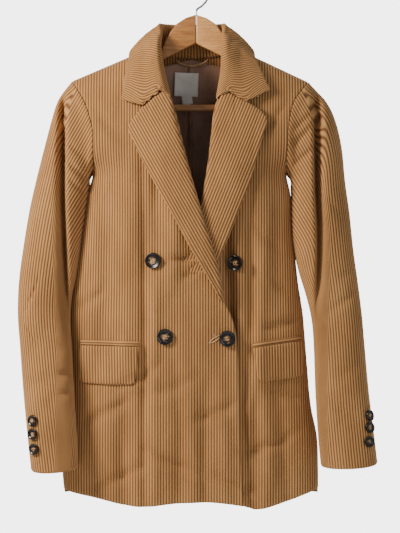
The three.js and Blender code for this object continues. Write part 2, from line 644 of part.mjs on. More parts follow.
// ---------------------------------------------------------------- pockets
// s runs from the front end of the pocket to the side, t from the flap's top edge to its foot.
function flapPoint(side, s, t) {
  const pocket = POCKETS[side];
  const top = lerp(pocket.frontX, pocket.sideX, s);
  const foot = lerp(pocket.footFrontX, pocket.footSideX, s);
  const corner = 7 * Math.pow(Math.abs(2 * s - 1), 9);
  const x = lerp(top, foot, t);
  const z = lerp(pocket.frontZ, pocket.sideZ, s) - t * (pocket.length - corner);
  const lift = CLOTH + POCKET_LAY + 1.5 * t;
  return new THREE.Vector3(x, frontY(side, x, z) - lift, z);
}

function weltPoint(side, s, t) {
  const pocket = POCKETS[side];
  const x = lerp(pocket.frontX, pocket.sideX, s);
  const z = lerp(pocket.frontZ, pocket.sideZ, s) + SEAM + WELT * (1 - t);
  return new THREE.Vector3(x, frontY(side, x, z) - CLOTH - POCKET_LAY, z);
}

for (const side of ['right', 'left']) {
  const face = side === 'right' ? 1 : -1;
  const flap = (s, t) => flapPoint(side, s, t);
  const welt = (s, t) => weltPoint(side, s, t);
  addPiece(`flap_${side}`, clothWall(flap, steps(10), [0, 0.5, 0.88, 1], CLOTH, face), 'corduroy');
  addPiece(`welt_${side}`, clothWall(welt, steps(10), [0, 1], CLOTH, face), 'corduroy');
}

// ---------------------------------------------------------------- inside the neck
// Pieces that lie on the inner face of the back, moved in by a lift.
function insidePoint(x, z, lift) {
  return new THREE.Vector3(x, bodyY(x, z, 1) - lift, z);
}

const LINING_LIFT = CLOTH + LAY + 1 + LINING;
const LABEL_LIFT = LINING_LIFT + LINING + 0.6;
const liningTop = (s) => -122 - 26 * Math.abs(2 * s - 1);
const lining = (s, t) => insidePoint(lerp(-112, 96, s), lerp(liningTop(s), -440, t), LINING_LIFT);
const label = (s, t) => insidePoint(lerp(-36, 3, s), lerp(-143, -182, t), LABEL_LIFT);
const sizeTab = (s, t) => insidePoint(lerp(-24, -7, s), lerp(-182.4, -197, t), LABEL_LIFT);
const loop = (s, t) => {
  const sag = Math.sin(Math.PI * s);
  return insidePoint(lerp(-31, 19, s), -123 - 8 * sag - 5 * t, LABEL_LIFT + 2.5 * sag);
};

addPiece('lining_back', clothWall(lining, steps(12), steps(9), LINING, -1), 'satin');
addPiece('neck_label', clothWall(label, steps(3), steps(3), LINING, -1), 'label');
addPiece('size_tab', clothWall(sizeTab, steps(2), steps(2), LINING, -1), 'label');
addPiece('hanging_loop', clothWall(loop, steps(10), [0, 1], LINING, -1), 'tape');

// ---------------------------------------------------------------- buttons
// A turned button with a raised rim, its face towards +z, on the wound thread that holds it.
function buttonGeometry({ radius, thick }) {
  const profile = [
    [0, -SHANK / thick],
    [0.22, -SHANK / thick],
    [0.22, 0],
    [0.72, 0],
    [1, 0.45],
    [0.98, 0.8],
    [0.86, 1],
    [0.66, 0.72],
    [0, 0.66],
  ].map(([out, up]) => new THREE.Vector2(out * radius, up * thick));
  const geometry = new THREE.LatheGeometry(profile, 18);
  geometry.rotateX(Math.PI / 2);
  return geometry;
}

// Places a button on a point of the cloth, facing along its normal.
function addButton(name, size, place, normal, gap) {
  const button = addPiece(name, buttonGeometry(size), 'horn');
  const front = new THREE.Vector3(0, 0, 1);
  button.quaternion.setFromUnitVectors(front, normal);
  button.position.copy(place).addScaledVector(normal, SHANK + gap);
}

// The outward normal of a form at a place, from points one step to each side.
function normalOf(point, a, b, step, face) {
  const along = point(a + step, b).sub(point(a - step, b));
  const up = point(a, b + step).sub(point(a, b - step));
  return along.cross(up).normalize().multiplyScalar(face);
}

for (const { name, on, x, z, gap } of BUTTONS) {
  const surface = (a, b) => new THREE.Vector3(a, frontY(on, a, b), b);
  addButton(name, BUTTON, surface(x, z), normalOf(surface, x, z, BUTTON.radius, 1), gap);
}

// The place on a sleeve's front at a given x and z.
const CUFF_STEP = 0.02;
function sleevePlace(side, x, z) {
  let best = { away: Infinity };
  for (let angle = 0; angle < Math.PI; angle += 0.02) {
    for (let t = 0.6; t < 1; t += 0.004) {
      const point = sleevePoint(side, angle, t);
      const away = Math.hypot(point.x - x, point.z - z);
      if (away < best.away) best = { away, angle, t, point };
    }
  }
  return best;
}

for (const { name, side, x, z } of CUFF_BUTTONS) {
  const { angle, t, point } = sleevePlace(side, x, z);
  const surface = (a, b) => sleevePoint(side, a, b);
  const normal = normalOf(surface, angle, t, CUFF_STEP, side === 'right' ? -1 : 1);
  addButton(name, CUFF_BUTTON, point, normal, CUFF_GAP);
}

// ---------------------------------------------------------------- hanger
// Top edge of an arm: the arch beside the hook, then straight under the shoulder cloth.
const ARCH = [
  { x: 0, z: -50.5 },
  { x: 17, z: -56 },
  { x: 31, z: -65 },
  { x: 42, z: -79 },
  { x: 51, z: -94 },
];
const ARM = { end: 176, bellyZ: -98, lowZ: -163, lug: -213, cloth: 8 };

function armGeometry(side) {
  const away = side === 'right' ? -1 : 1;
  const gap = SEAM / 2;
  const top = ARCH.map(({ x, z }) => [Math.max(x, gap), z]);
  const under = (x) => readStraight(SHOULDERS, 'x', 'z', away * x) - ARM.cloth;
  for (const x of [58, 76, 110, 145, 170]) top.push([x, under(x)]);
  const foot = [
    [ARM.end, under(ARM.end) - 6],
    [ARM.end + 1, ARM.lug + 12],
    [ARM.end - 4, ARM.lug + 2],
    [ARM.end - 8, ARM.lug],
    [BAR.half + 0.3, ARM.lug],
    [BAR.half + 0.3, ARM.lowZ - 34],
    [BAR.half - 10, ARM.lowZ - 9],
    [52, -123],
    [gap, ARM.bellyZ],
  ];
  const outline = new THREE.Shape([...top, ...foot].map(([x, z]) => new THREE.Vector2(away * x, z)));
  const geometry = new THREE.ExtrudeGeometry(outline, { depth: WOOD, bevelEnabled: false });
  geometry.rotateX(Math.PI / 2);
  geometry.translate(0, WOOD / 2, 0);
  return geometry;
}

addPiece('hanger_arm_right', armGeometry('right'), 'beech');
addPiece('hanger_arm_left', armGeometry('left'), 'beech');

const bar = new THREE.CylinderGeometry(BAR.radius, BAR.radius, BAR.half * 2, 16);
bar.rotateZ(Math.PI / 2);
bar.translate(0, 0, BAR.z);
addPiece('hanger_bar', bar, 'beech');

// The hook: a stem on the wood, a bend to the left side, then an arc over the rail.
function hookGeometry() {
  const radius = HOOK_RADIUS + WIRE / 2;
  const centreZ = -HOOK_RADIUS;
  const route = [[0, -50.2], [0, -45], [3, -40.5], [9.5, -36.5]];
  for (let turn = -35; turn <= 200; turn += 23.5) {
    const angle = THREE.MathUtils.degToRad(turn);
    route.push([radius * Math.cos(angle), centreZ + radius * Math.sin(angle)]);
  }
  const path = new THREE.CatmullRomCurve3(route.map(([x, z]) => new THREE.Vector3(x, 0, z)));
  const section = new THREE.Shape().absarc(0, 0, WIRE / 2, 0, Math.PI * 2, false);
  return new THREE.ExtrudeGeometry(section, {
    steps: 40,
    curveSegments: 5,
    bevelEnabled: false,
    extrudePath: path,
  });
}

addPiece('hanger_hook', hookGeometry(), 'chrome');

export default blazer;
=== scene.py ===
"""A double breasted corduroy blazer on a wooden hanger.

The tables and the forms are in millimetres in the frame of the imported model; put_mesh turns them to
metres. Every sheet of corduroy is a grid whose columns follow the wales, so that the ribs are real.
"""
import functools
import math
import bmesh
import bpy
import numpy as np
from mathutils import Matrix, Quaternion, Vector


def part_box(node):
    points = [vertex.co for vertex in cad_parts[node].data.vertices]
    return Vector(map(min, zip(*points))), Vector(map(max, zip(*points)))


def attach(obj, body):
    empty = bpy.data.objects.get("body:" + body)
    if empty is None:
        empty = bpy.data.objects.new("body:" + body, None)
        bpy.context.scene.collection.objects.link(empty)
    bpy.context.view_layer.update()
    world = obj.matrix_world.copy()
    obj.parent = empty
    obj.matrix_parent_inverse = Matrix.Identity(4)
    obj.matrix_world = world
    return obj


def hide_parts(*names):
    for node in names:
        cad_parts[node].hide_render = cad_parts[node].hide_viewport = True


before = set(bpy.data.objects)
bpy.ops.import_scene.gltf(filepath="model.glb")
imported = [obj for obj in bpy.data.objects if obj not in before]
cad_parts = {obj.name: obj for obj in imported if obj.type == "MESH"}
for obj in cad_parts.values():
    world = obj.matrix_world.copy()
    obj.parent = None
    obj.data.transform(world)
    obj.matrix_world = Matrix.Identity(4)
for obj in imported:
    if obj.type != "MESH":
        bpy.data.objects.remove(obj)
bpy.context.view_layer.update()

MM = 0.001
WALE = 4.55            # spacing of the wales
RIB = 0.85             # height of a rib over its groove
CLOTH = 1.9            # wall of the corduroy
PER_WALE = 4           # grid columns to a wale
STEP = 7.0             # spacing of the grid's rows along the wales

# ------------------------------------------------------------------ the body's form, as cut
MIDDLE = -9
ARMPIT = -312
HEM = -845
BACK_HEM = -832
ROUND = 2.5
SLEEVE_ROUND = 2.2
NECK_X, NECK_HALF, NECK_Z, NECK_DIP, NECK_DOME = -6.5, 68.5, -106, 6, 50
SEAM = 0.3
FOLD_WANDER = 2.5      # how far a fold strays from its straight line
FOLD_TAIL = 60         # how far a fold runs on past its foot
CREASE_GAIN = 1.7      # deepens all the creases of the fronts, backs and sleeves
UNEVEN = 1.8           # slow unevenness of the cloth
LAP_LIFT = 7           # how far the right front stands off the left one
LAP_CROSSING = 5       # what the lapels' crossing adds to that


class Table:
    """A short table with named columns, read smoothly at a place along its first column."""

    def __init__(self, names, *rows):
        names = names.split()
        self.columns = dict(zip(names, np.array(rows, float).T))
        self.first = names[0]

    def read(self, name, place):
        xs, ys = self.columns[self.first], self.columns[name]
        place = np.clip(np.asarray(place, float), xs[0], xs[-1])
        i = np.clip(np.searchsorted(xs, place, side="right") - 1, 0, len(xs) - 2)
        numbers = np.arange(len(xs))
        before, after = np.maximum(numbers - 1, 0), np.minimum(numbers + 1, len(xs) - 1)
        slope = (ys[after] - ys[before]) / (xs[after] - xs[before])
        span = xs[i + 1] - xs[i]
        t = (place - xs[i]) / span
        bend = t * t * (3 - 2 * t)
        return (ys[i] + (ys[i + 1] - ys[i]) * bend + slope[i] * span * t * (1 - t) ** 2
                - slope[i + 1] * span * t * t * (1 - t))

    def straight(self, name, place):
        return np.interp(place, self.columns[self.first], self.columns[name])


SECTIONS = Table(
    "z right left front back",
    (-845, -213, 199, 50, 42),
    (-790, -218, 199, 52, 44),
    (-740, -214, 197, 53, 45),
    (-689, -205, 187, 54, 46),
    (-600, -206, 179, 53, 45),
    (-540, -206, 174, 52, 44),
    (-488, -200, 166, 51, 42),
    (-430, -189.5, 160, 54, 43),
    (-390, -183.5, 156, 56, 44),
    (-346, -177, 154, 58, 46),
    (-312, -168, 147, 58, 46),
    (-256, -167, 149, 58, 46),
    (-238, -168, 150, 58, 46),
    (-196, -181, 159, 58, 46),
    (-161, -202, 184, 58, 46),
)
SHOULDERS = Table("x z", (-202, -160), (-127, -128), (-75, -106), (62, -105), (112, -128),
                  (184, -162))
FRONT_EDGE = {
    "right": Table(
        "z x", (-850, 76), (-733, 71), (-593, 67), (-547, 59), (-514, 44), (-482, 41), (-446, 32),
        (-377, 9), (-278, -17), (-209, -34), (-170, -52), (-140, -62), (-118, -70), (-106, -75)),
    "left": Table(
        "z x", (-850, -68), (-580, -68), (-540, -60), (-505, -44), (-455, -25), (-405, -8),
        (-361, 7), (-308, 17), (-272, 22), (-209, 29), (-170, 43), (-140, 51), (-118, 58),
        (-105, 62)),
}
HEM_LINE = Table("x z", (-213, -827), (-162, -838), (-96, -851), (-34, -846), (23, -844),
                 (75, -850), (97, -856), (134, -848), (199, -825))

# Long soft folds of the fronts, each from its top to its foot: troughs, or ridges where negative.
FRONT_FOLDS = [
    # top x, top z, foot x, foot z, depth, width
    (-88, -250, -80, -870, 8.0, 8),
    (-68, -380, -64, -870, -3.5, 9),
    (-112, -300, -108, -640, -3.0, 12),
    (-140, -330, -156, -600, 6.0, 13),
    (-118, -650, -110, -880, 6.0, 11),
    (-140, -660, -138, -880, -3.0, 10),
    (-166, -620, -176, -880, 6.0, 13),
    (-32, -600, -24, -880, 5.0, 11),
    (-8, -620, -4, -880, -3.0, 10),
    (14, -640, 18, -880, 4.0, 9),
    (42, -620, 46, -880, -3.0, 10),
    (-54, -240, -70, -430, 6.0, 12),
    (-34, -320, -38, -450, -6.0, 14),
    (92, -300, 86, -620, 8.0, 8),
    (108, -400, 106, -660, -4.0, 9),
    (136, -640, 146, -880, 6.0, 12),
    (118, -650, 112, -880, -3.5, 10),
    (96, -650, 96, -880, 5.0, 9),
    (126, -300, 134, -480, 5.0, 11),
    (78, -560, 84, -880, 7.0, 5),
]
# Short creases across the fronts: centre x and z, half length, rise over that length, depth, width.
FRONT_CREASES = [
    (-22, -450, 34, 8, 5.0, 4),
    (14, -456, 20, 16, 3.4, 4),
    (-4, -470, 20, 14, 2.6, 5),
    (140, -556, 36, 9, 5.0, 6),
    (146, -672, 40, -10, 5.0, 7),
    (118, -752, 46, 16, 4.4, 8),
    (-150, -700, 44, 18, 4.4, 8),
    (-40, -780, 50, -20, 4.0, 9),
    (-128, -806, 44, 16, 4.0, 8),
    (-176, -520, 26, 12, 4.0, 7),
    (150, -505, 26, -12, 4.0, 7),
    (30, -700, 38, 14, 3.2, 8),
    (60, -815, 32, -14, 3.6, 8),
    (-90, -640, 34, 16, 3.0, 8),
    (-40, -660, 40, 12, 2.4, 9),
    (-125, -250, 34, -26, 3.0, 10),
    (110, -240, 34, 30, 3.4, 10),
    (118, -420, 26, -18, 3.0, 8),
]
BACK_FOLDS = [
    (-100, -330, -104, -870, 7.0, 15),
    (-72, -420, -70, -870, -3.0, 12),
    (-48, -480, -44, -870, 5.0, 13),
    (84, -330, 88, -870, 7.0, 15),
    (60, -420, 62, -870, -3.0, 12),
    (34, -500, 30, -870, 5.0, 13),
    (-150, -420, -158, -870, 5.0, 13),
    (132, -420, 140, -870, 5.0, 13),
]
BACK_CREASES = [
    (-120, -470, 50, 16, 4.4, 9),
    (104, -480, 50, -16, 4.4, 9),
    (-60, -560, 44, -12, 3.4, 9),
    (-130, -330, 34, 26, 4.4, 9),
    (112, -330, 34, -26, 4.4, 9),
    (40, -690, 50, 14, 3.4, 10),
    (-100, -740, 44, 12, 3.4, 10),
    (90, -610, 40, 12, 3.0, 9),
    (-10, -440, 46, -8, 2.6, 9),
]
SIDE_VALLEY = (49, -362, 55, -600, 20.0, 10)


def smooth(value, start, end):
    t = np.clip((np.asarray(value, float) - start) / (end - start), 0, 1)
    return t * t * (3 - 2 * t)


def mix(a, b, t):
    return a + (b - a) * t


def shoulder_z(x):
    across = np.minimum(np.abs(x - NECK_X) / NECK_HALF, 1)
    return SHOULDERS.straight("z", x) + NECK_DOME * np.sqrt(1 - across ** 2)


def back_top_z(x):
    across = np.abs(x - NECK_X) / NECK_HALF
    return np.where(across >= 1, shoulder_z(x), NECK_Z - NECK_DIP * (1 - across ** 2))


def fold_depth(fold, x, z):
    top_x, top_z, foot_x, foot_z, depth, width = fold
    along = (z - top_z) / (foot_z - top_z)
    wander = FOLD_WANDER * np.sin(along * 5 + top_x)
    off = (x - mix(top_x, foot_x, np.clip(along, 0, 1)) - wander) / width
    ends = np.sin(np.pi * np.clip(along / (1 + FOLD_TAIL / (top_z - foot_z)), 0, 1))
    return depth * np.exp(-off * off) * np.sqrt(np.maximum(ends, 0))


def crease_depth(crease, x, z):
    centre_x, centre_z, half, rise, depth, width = crease
    along = (x - centre_x) / half
    bow = 4 * along * along
    off = (z - centre_z - rise * along - bow) / width
    return depth * np.exp(-off * off) * np.exp(-(along ** 4))


def ripple(x, z, size, seed):
    """Slow unevenness of hanging cloth, the same on each run."""
    return size * (np.sin(x / 31 + z / 83 + seed) * np.sin(z / 57 - x / 71 + 2 * seed)
                   + 0.5 * np.sin(x / 17 - z / 43 + 3 * seed))


def body_y(x, z, face, relief=True):
    """y of the body's form; face -1 is the front and 1 the back. Without relief it has no folds."""
    edge = np.where(x < MIDDLE, SECTIONS.read("right", z), SECTIONS.read("left", z))
    widen = 1 + 0.45 * smooth(z, ARMPIT, ARMPIT + 60)
    across = np.minimum(np.abs((x - MIDDLE) / ((edge - MIDDLE) * widen)), 1)
    section = (1 - across ** ROUND) ** (1 / ROUND)
    rise = np.clip((z - ARMPIT) / (shoulder_z(x) - ARMPIT), 0, 1)
    depth = SECTIONS.read("front" if face < 0 else "back", z)
    plain = depth * section * np.sqrt(1 - rise ** 2) + SEAM / 2
    if not relief:
        return face * plain
    folds = FRONT_FOLDS if face < 0 else BACK_FOLDS
    creases = FRONT_CREASES if face < 0 else BACK_CREASES
    dip = sum(fold_depth(fold, x, z) for fold in folds) + ripple(x, z, UNEVEN, face)
    dip = dip + CREASE_GAIN * sum(crease_depth(crease, x, z) for crease in creases)
    return face * (plain - dip * section * (1 - rise ** 6))


def lap_lift(x, z):
    crossing = smooth(z, -560, -495) * (1 - smooth(z, -380, -300))
    return (LAP_LIFT + LAP_CROSSING * crossing) * smooth(x, -150, -60)


def front_lift(side, x, z):
    return lap_lift(x, z) if side == "right" else 0 * x


def front_y(side, x, z, relief=True):
    valley = fold_depth(SIDE_VALLEY, x, z) if side == "left" and relief else 0
    return body_y(x, z, -1, relief) - front_lift(side, x, z) + valley


# ------------------------------------------------------------------ meshes
def put_mesh(name, points, faces, uvs):
    """A smooth mesh object from points in millimetres. uvs holds one pair for each point."""
    points = np.asarray(points, float).reshape(-1, 3) * MM
    faces = np.asarray(faces, int)
    mesh = bpy.data.meshes.new(name)
    mesh.from_pydata(points.tolist(), [], faces.tolist())
    layer = mesh.uv_layers.new(name="Wales")
    index = np.empty(len(mesh.loops), int)
    mesh.loops.foreach_get("vertex_index", index)
    layer.data.foreach_set("uv", np.asarray(uvs, float).reshape(-1, 2)[index].ravel())
    mesh.polygons.foreach_set("use_smooth", [True] * len(mesh.polygons))
    piece = bpy.data.objects.new(name, mesh)
    bpy.context.collection.objects.link(piece)
    return piece


def grid_faces(rows, columns):
    first = np.arange(rows - 1)[:, None] * columns + np.arange(columns - 1)
    return np.stack([first, first + 1, first + columns + 1, first + columns], -1).reshape(-1, 4)


def only(piece):
    """Selects one piece alone, ready for an operator."""
    for thing in bpy.context.selected_objects:
        thing.select_set(False)
    piece.select_set(True)
    bpy.context.view_layer.objects.active = piece


def apply_all(piece):
    only(piece)
    for modifier in list(piece.modifiers):
        bpy.ops.object.modifier_apply(modifier=modifier.name)


def apply_placing():
    bpy.ops.object.transform_apply(location=True, rotation=True, scale=True)


def bevel(piece, width, segments, angle):
    """Rounds the edges sharper than an angle in degrees; width in metres."""
    rounding = piece.modifiers.new("Rounding", "BEVEL")
    rounding.width = width
    rounding.segments = segments
    rounding.angle_limit = math.radians(angle)
    apply_all(piece)


def clean(piece, near=0.00002):
    """Merges the columns that end on a seam and drops what is left of them."""
    only(piece)
    bpy.ops.object.mode_set(mode="EDIT")
    bpy.ops.mesh.select_all(action="SELECT")
    bpy.ops.mesh.remove_doubles(threshold=near)
    bpy.ops.mesh.dissolve_degenerate(threshold=near)
    bpy.ops.mesh.delete_loose()
    bpy.ops.object.mode_set(mode="OBJECT")


def finish_sheet(piece, face, thickness):
    """Cleans a sheet, turns its faces to look along face (a direction), and gives it its wall,
    inwards from that face."""
    clean(piece)
    mesh = piece.data
    values = {}
    for name, size in (("normal", 3), ("area", 1), ("center", 3)):
        values[name] = np.empty(len(mesh.polygons) * size)
        mesh.polygons.foreach_get(name, values[name])
    way = face(values["center"].reshape(-1, 3) / MM)
    facing = np.einsum("ij,ij->i", values["normal"].reshape(-1, 3), way)
    if (facing * values["area"]).sum() < 0:
        mesh.flip_normals()
    wall = piece.modifiers.new("Wall", "SOLIDIFY")
    wall.thickness = thickness * MM
    wall.offset = -1
    wall.use_even_offset = False
    apply_all(piece)


RIB_PROFILE = np.array([1.0, 0.82, 0.0, 0.82])
EDGE_ROUND = 2.2        # how far from an edge the cloth starts to turn in
ALONG = 640             # length that t spans on a panel or a sleeve, about
FINE = 520              # places along a row at which its length is measured


def rib_height(wale):
    """Height of the ribs at a wale number; columns fall on tops, shoulders and grooves."""
    phase = (wale - np.floor(wale)) * PER_WALE
    low = np.floor(phase).astype(int) % PER_WALE
    part = phase - np.floor(phase)
    return mix(RIB_PROFILE[low], RIB_PROFILE[(low + 1) % PER_WALE], part)


def normals_of(grid):
    along = np.gradient(grid, axis=1)
    up = np.gradient(grid, axis=0)
    cross = np.cross(along, up)
    length = np.linalg.norm(cross, axis=2, keepdims=True)
    return cross / np.maximum(length, 1e-9)


def ribbed_sheet(name, sampler, rows, out, first, edge_roll=1.0, turn=None):
    """A sheet of corduroy over sampler(s, t), with t fixed along each row.

    The wales lie at equal arc lengths from where each row starts (first gives that start), so the
    seams cut them as they cut real cloth. The lengths are those of the form without its relief.
    turn adds to them where the cloth has slid. out says which way the cloth faces.
    """
    fine = np.linspace(0, 1, FINE)
    s, t = np.meshgrid(fine, rows)
    dense = sampler(s, t)
    form = sampler(s, t, relief=False)
    step = np.hypot(np.diff(form[:, :, 0], axis=1), np.diff(form[:, :, 1], axis=1))
    arc = np.concatenate([np.zeros((len(rows), 1)), np.cumsum(step, axis=1)], axis=1)
    arc = arc + first(dense)
    if turn:
        arc = arc + turn(dense, s, arc)
    normal = normals_of(dense)
    normal = normal * np.sign((normal * out(dense)).sum())
    low, high = arc.min(), arc.max()
    numbers = np.arange(math.floor(low / WALE * PER_WALE), math.ceil(high / WALE * PER_WALE) + 1)
    places = numbers * WALE / PER_WALE
    grid = np.empty((len(rows), len(places), 3))
    wales = np.empty((len(rows), len(places)))
    for row in range(len(rows)):
        line = np.maximum.accumulate(arc[row])
        here = np.clip(places, line[0], line[-1])
        share = np.interp(here, line, fine)
        point = np.stack([np.interp(share, fine, dense[row, :, k]) for k in range(3)], -1)
        way = np.stack([np.interp(share, fine, normal[row, :, k]) for k in range(3)], -1)
        hem = min(t[row, 0], 1 - t[row, 0]) * ALONG / EDGE_ROUND
        side_edge = np.minimum(here - line[0], line[-1] - here) / EDGE_ROUND
        inside = np.clip(np.minimum(side_edge, hem), 0, 1)
        lift = RIB * rib_height(here / WALE) * inside - edge_roll * (1 - inside) ** 2
        grid[row] = point + way * lift[:, None]
        wales[row] = here / WALE
    middle_steps = np.linalg.norm(np.diff(dense[:, FINE // 2], axis=0), axis=1)
    along = np.concatenate([[0], np.cumsum(middle_steps)])
    uv = np.stack([wales, np.repeat(along[:, None] / WALE, len(places), 1)], -1)
    piece = put_mesh(name, grid, grid_faces(len(rows), len(places)), uv)
    finish_sheet(piece, out, CLOTH)
    return piece


# ------------------------------------------------------------------ materials
def linear(text):
    """An sRGB hex value as linear light."""
    parts = [int(text[i:i + 2], 16) / 255 for i in (1, 3, 5)]
    return [p / 12.92 if p <= 0.04045 else ((p + 0.055) / 1.055) ** 2.4 for p in parts] + [1]


def add(tree, kind, settings=None, **links):
    """Adds a node, sets its properties and inputs, and links named inputs to other sockets."""
    node = tree.nodes.new(kind)
    for key, value in (settings or {}).items():
        if isinstance(key, str) and hasattr(node, key):
            setattr(node, key, value)
        else:
            node.inputs[key].default_value = value
    for key, socket in links.items():
        place = int(key[1:]) if key[0] == "i" and key[1:].isdigit() else key.replace("_", " ")
        tree.links.new(socket, node.inputs[place])
    return node


def ramp(tree, factor, *stops):
    node = tree.nodes.new("ShaderNodeValToRGB")
    while len(node.color_ramp.elements) < len(stops):
        node.color_ramp.elements.new(0.5)
    for element, (place, colour) in zip(node.color_ramp.elements, stops):
        element.position = place
        element.color = linear(colour)
    tree.links.new(factor, node.inputs["Fac"])
    return node.outputs["Color"]


def new_material(name):
    """A material, its node tree, its shader and the place on the object as a socket."""
    material = bpy.data.materials.new(name)
    material.use_nodes = True
    tree = material.node_tree
    place = add(tree, "ShaderNodeTexCoord").outputs["Object"]
    return material, tree, tree.nodes["Principled BSDF"], place


def calc(tree, operation, *values):
    """A maths node over sockets and plain numbers."""
    numbers = {i: v for i, v in enumerate(values) if not isinstance(v, bpy.types.NodeSocket)}
    sockets = {f"i{i}": v for i, v in enumerate(values) if i not in numbers}
    return add(tree, "ShaderNodeMath", {"operation": operation, **numbers}, **sockets).outputs[0]


def noise(tree, place, **settings):
    return add(tree, "ShaderNodeTexNoise", settings, Vector=place).outputs["Fac"]


def stretched(tree, place, **settings):
    return add(tree, "ShaderNodeMapping", settings, Vector=place).outputs[0]


def dress(tree, shader, colour, uniform, relief=None, strength=0.0, depth=0.0):
    """Links the colour, sets the uniform inputs and adds a bump where relief is given."""
    tree.links.new(colour, shader.inputs["Base Color"])
    for name, value in uniform.items():
        shader.inputs[name].default_value = value
    if relief:
        bump = add(tree, "ShaderNodeBump", {"Strength": strength, "Distance": depth}, Height=relief)
        tree.links.new(bump.outputs[0], shader.inputs["Normal"])


def corduroy(name, ridge, shoulder, groove):
    """Wide-wale cotton corduroy: brushed ribs with woven grooves between; the rib tops' lighter
    colour is partly pile, partly painted highlight, the grooves' darker colour partly woven ground,
    partly painted shade.
    """
    material, tree, shader, place = new_material(name)
    uv = add(tree, "ShaderNodeUVMap", {"uv_map": "Wales"}).outputs["UV"]
    wale = add(tree, "ShaderNodeSeparateXYZ", Vector=uv).outputs["X"]
    # Slow drift of the dye and of the brushing, patches of 20 to 60 mm drawn out along the wales.
    drawn = stretched(tree, place, Scale=(1, 1, 0.35))
    patches = noise(tree, drawn, Scale=26.0, Detail=4.0, Roughness=0.6)
    # The pile's tufts, drawn 1.5 mm coarse so that they show; real ones are 0.3 mm.
    tufts = noise(tree, place, Scale=650.0, Detail=3.0, Roughness=0.7)
    # The wale's cosine gives rib height; the ramp below paints the grooves darker and the rib tops
    # lighter, partly the cloth's own colour and partly painted shade and highlight.
    turned = calc(tree, "MULTIPLY", calc(tree, "FRACT", wale), 2 * math.pi)
    height = calc(tree, "MULTIPLY_ADD", calc(tree, "COSINE", turned), 0.5, 0.5)
    rib_tuft_height = calc(tree, "ADD", height, calc(tree, "MULTIPLY_ADD", tufts, 0.24, -0.12))
    ribs = ramp(tree, rib_tuft_height, (0.06, groove), (0.42, shoulder), (0.9, ridge))
    drift = ramp(tree, patches, (0.34, "#b9a99a"), (0.66, "#ffffff"))
    tinted = add(tree, "ShaderNodeMix", {"data_type": "RGBA", "blend_type": "MULTIPLY", 0: 0.4},
                 i6=ribs, i7=drift)
    dress(tree, shader, tinted.outputs[2], {
        "Roughness": 0.92, "IOR": 1.45, "Specular IOR Level": 0.15, "Sheen Weight": 0.25,
        "Sheen Roughness": 0.5, "Sheen Tint": linear("#ffe0b8")}, rib_tuft_height, 0.35, 0.0006)
    return material


def satin(name, dark, light):
    """Lining satin: a smooth brown weave, with soft long highlights and the shade of its drape
    painted into its colour.
    """
    material, tree, shader, place = new_material(name)
    weave = noise(tree, stretched(tree, place, Scale=(900.0, 900.0, 120.0)), Scale=1.0, Detail=2.0)
    # The slow drape noise paints the lining's highlights and the shade of its folds into the colour;
    # the fine long streaks are the weave's own.
    drape = noise(tree, place, Scale=14.0, Detail=3.0)
    colour = ramp(tree, calc(tree, "MULTIPLY_ADD", weave, 0.3, drape), (0.45, dark), (0.85, light))
    dress(tree, shader, colour, {"Roughness": 0.42, "Sheen Weight": 0.15}, weave, 0.12, 0.0003)
    return material


def woven_tape(name, dark, light, spacing):
    """Plain woven tape or label: fine crossing threads, matt."""
    material, tree, shader, place = new_material(name)
    scale = 1 / (spacing * MM) / 3.14
    across, down = (
        add(tree, "ShaderNodeTexWave", {"bands_direction": way, "Scale": scale}, Vector=place)
        for way in "XZ")
    cross = calc(tree, "MULTIPLY", across.outputs["Fac"], down.outputs["Fac"])
    drift = noise(tree, place, Scale=60.0, Detail=3.0)
    colour = ramp(tree, calc(tree, "MULTIPLY_ADD", cross, 0.4, drift), (0.35, dark), (0.85, light))
    dress(tree, shader, colour, {"Roughness": 0.75}, cross, 0.3, 0.0002)
    return material


def horn(name):
    """Polished polyester horn: near black at the rim, tan marbling that runs through the middle."""
    material, tree, shader, place = new_material(name)
    ring = add(tree, "ShaderNodeAttribute", {"attribute_name": "ring"}).outputs["Fac"]
    streaks = stretched(tree, place, Rotation=(0.0, 0.8, 0.0), Scale=(60.0, 60.0, 190.0))
    marble = noise(tree, streaks, Scale=2.0, Detail=4.0, Roughness=0.6, Distortion=0.8)
    colour = ramp(tree, calc(tree, "MULTIPLY_ADD", ring, 0.62, marble), (0.6, "#a98c66"),
                  (0.7, "#7d6244"), (0.78, "#2c1f17"), (0.86, "#0b090a"))
    dress(tree, shader, colour, {"Roughness": 0.22, "IOR": 1.53})
    return material


def beech(name, dark, light):
    """Varnished beech: fine straight grain with short dark flecks under a satin varnish."""
    material, tree, shader, place = new_material(name)
    along = stretched(tree, place, Scale=(9.0, 60.0, 90.0))
    grain = noise(tree, along, Scale=3.0, Detail=6.0, Roughness=0.65)
    fleck = noise(tree, stretched(tree, place, Scale=(160.0, 900.0, 1200.0)), Scale=1.0, Detail=2.0)
    colour = ramp(tree, calc(tree, "MULTIPLY_ADD", fleck, 0.22, grain), (0.42, dark), (0.78, light))
    dress(tree, shader, colour, {"Roughness": 0.38, "Coat Weight": 0.3, "Coat Roughness": 0.2},
          grain, 0.08, 0.0003)
    return material


def plated_wire(name):
    """Bright chrome plate on drawn wire, with faint drawing marks."""
    material, tree, shader, place = new_material(name)
    marks = noise(tree, place, Scale=900.0, Detail=2.0)
    dress(tree, shader, ramp(tree, marks, (0.3, "#b9bbbd"), (0.7, "#dcdee0")),
          {"Metallic": 1.0, "Roughness": 0.14})
    return material


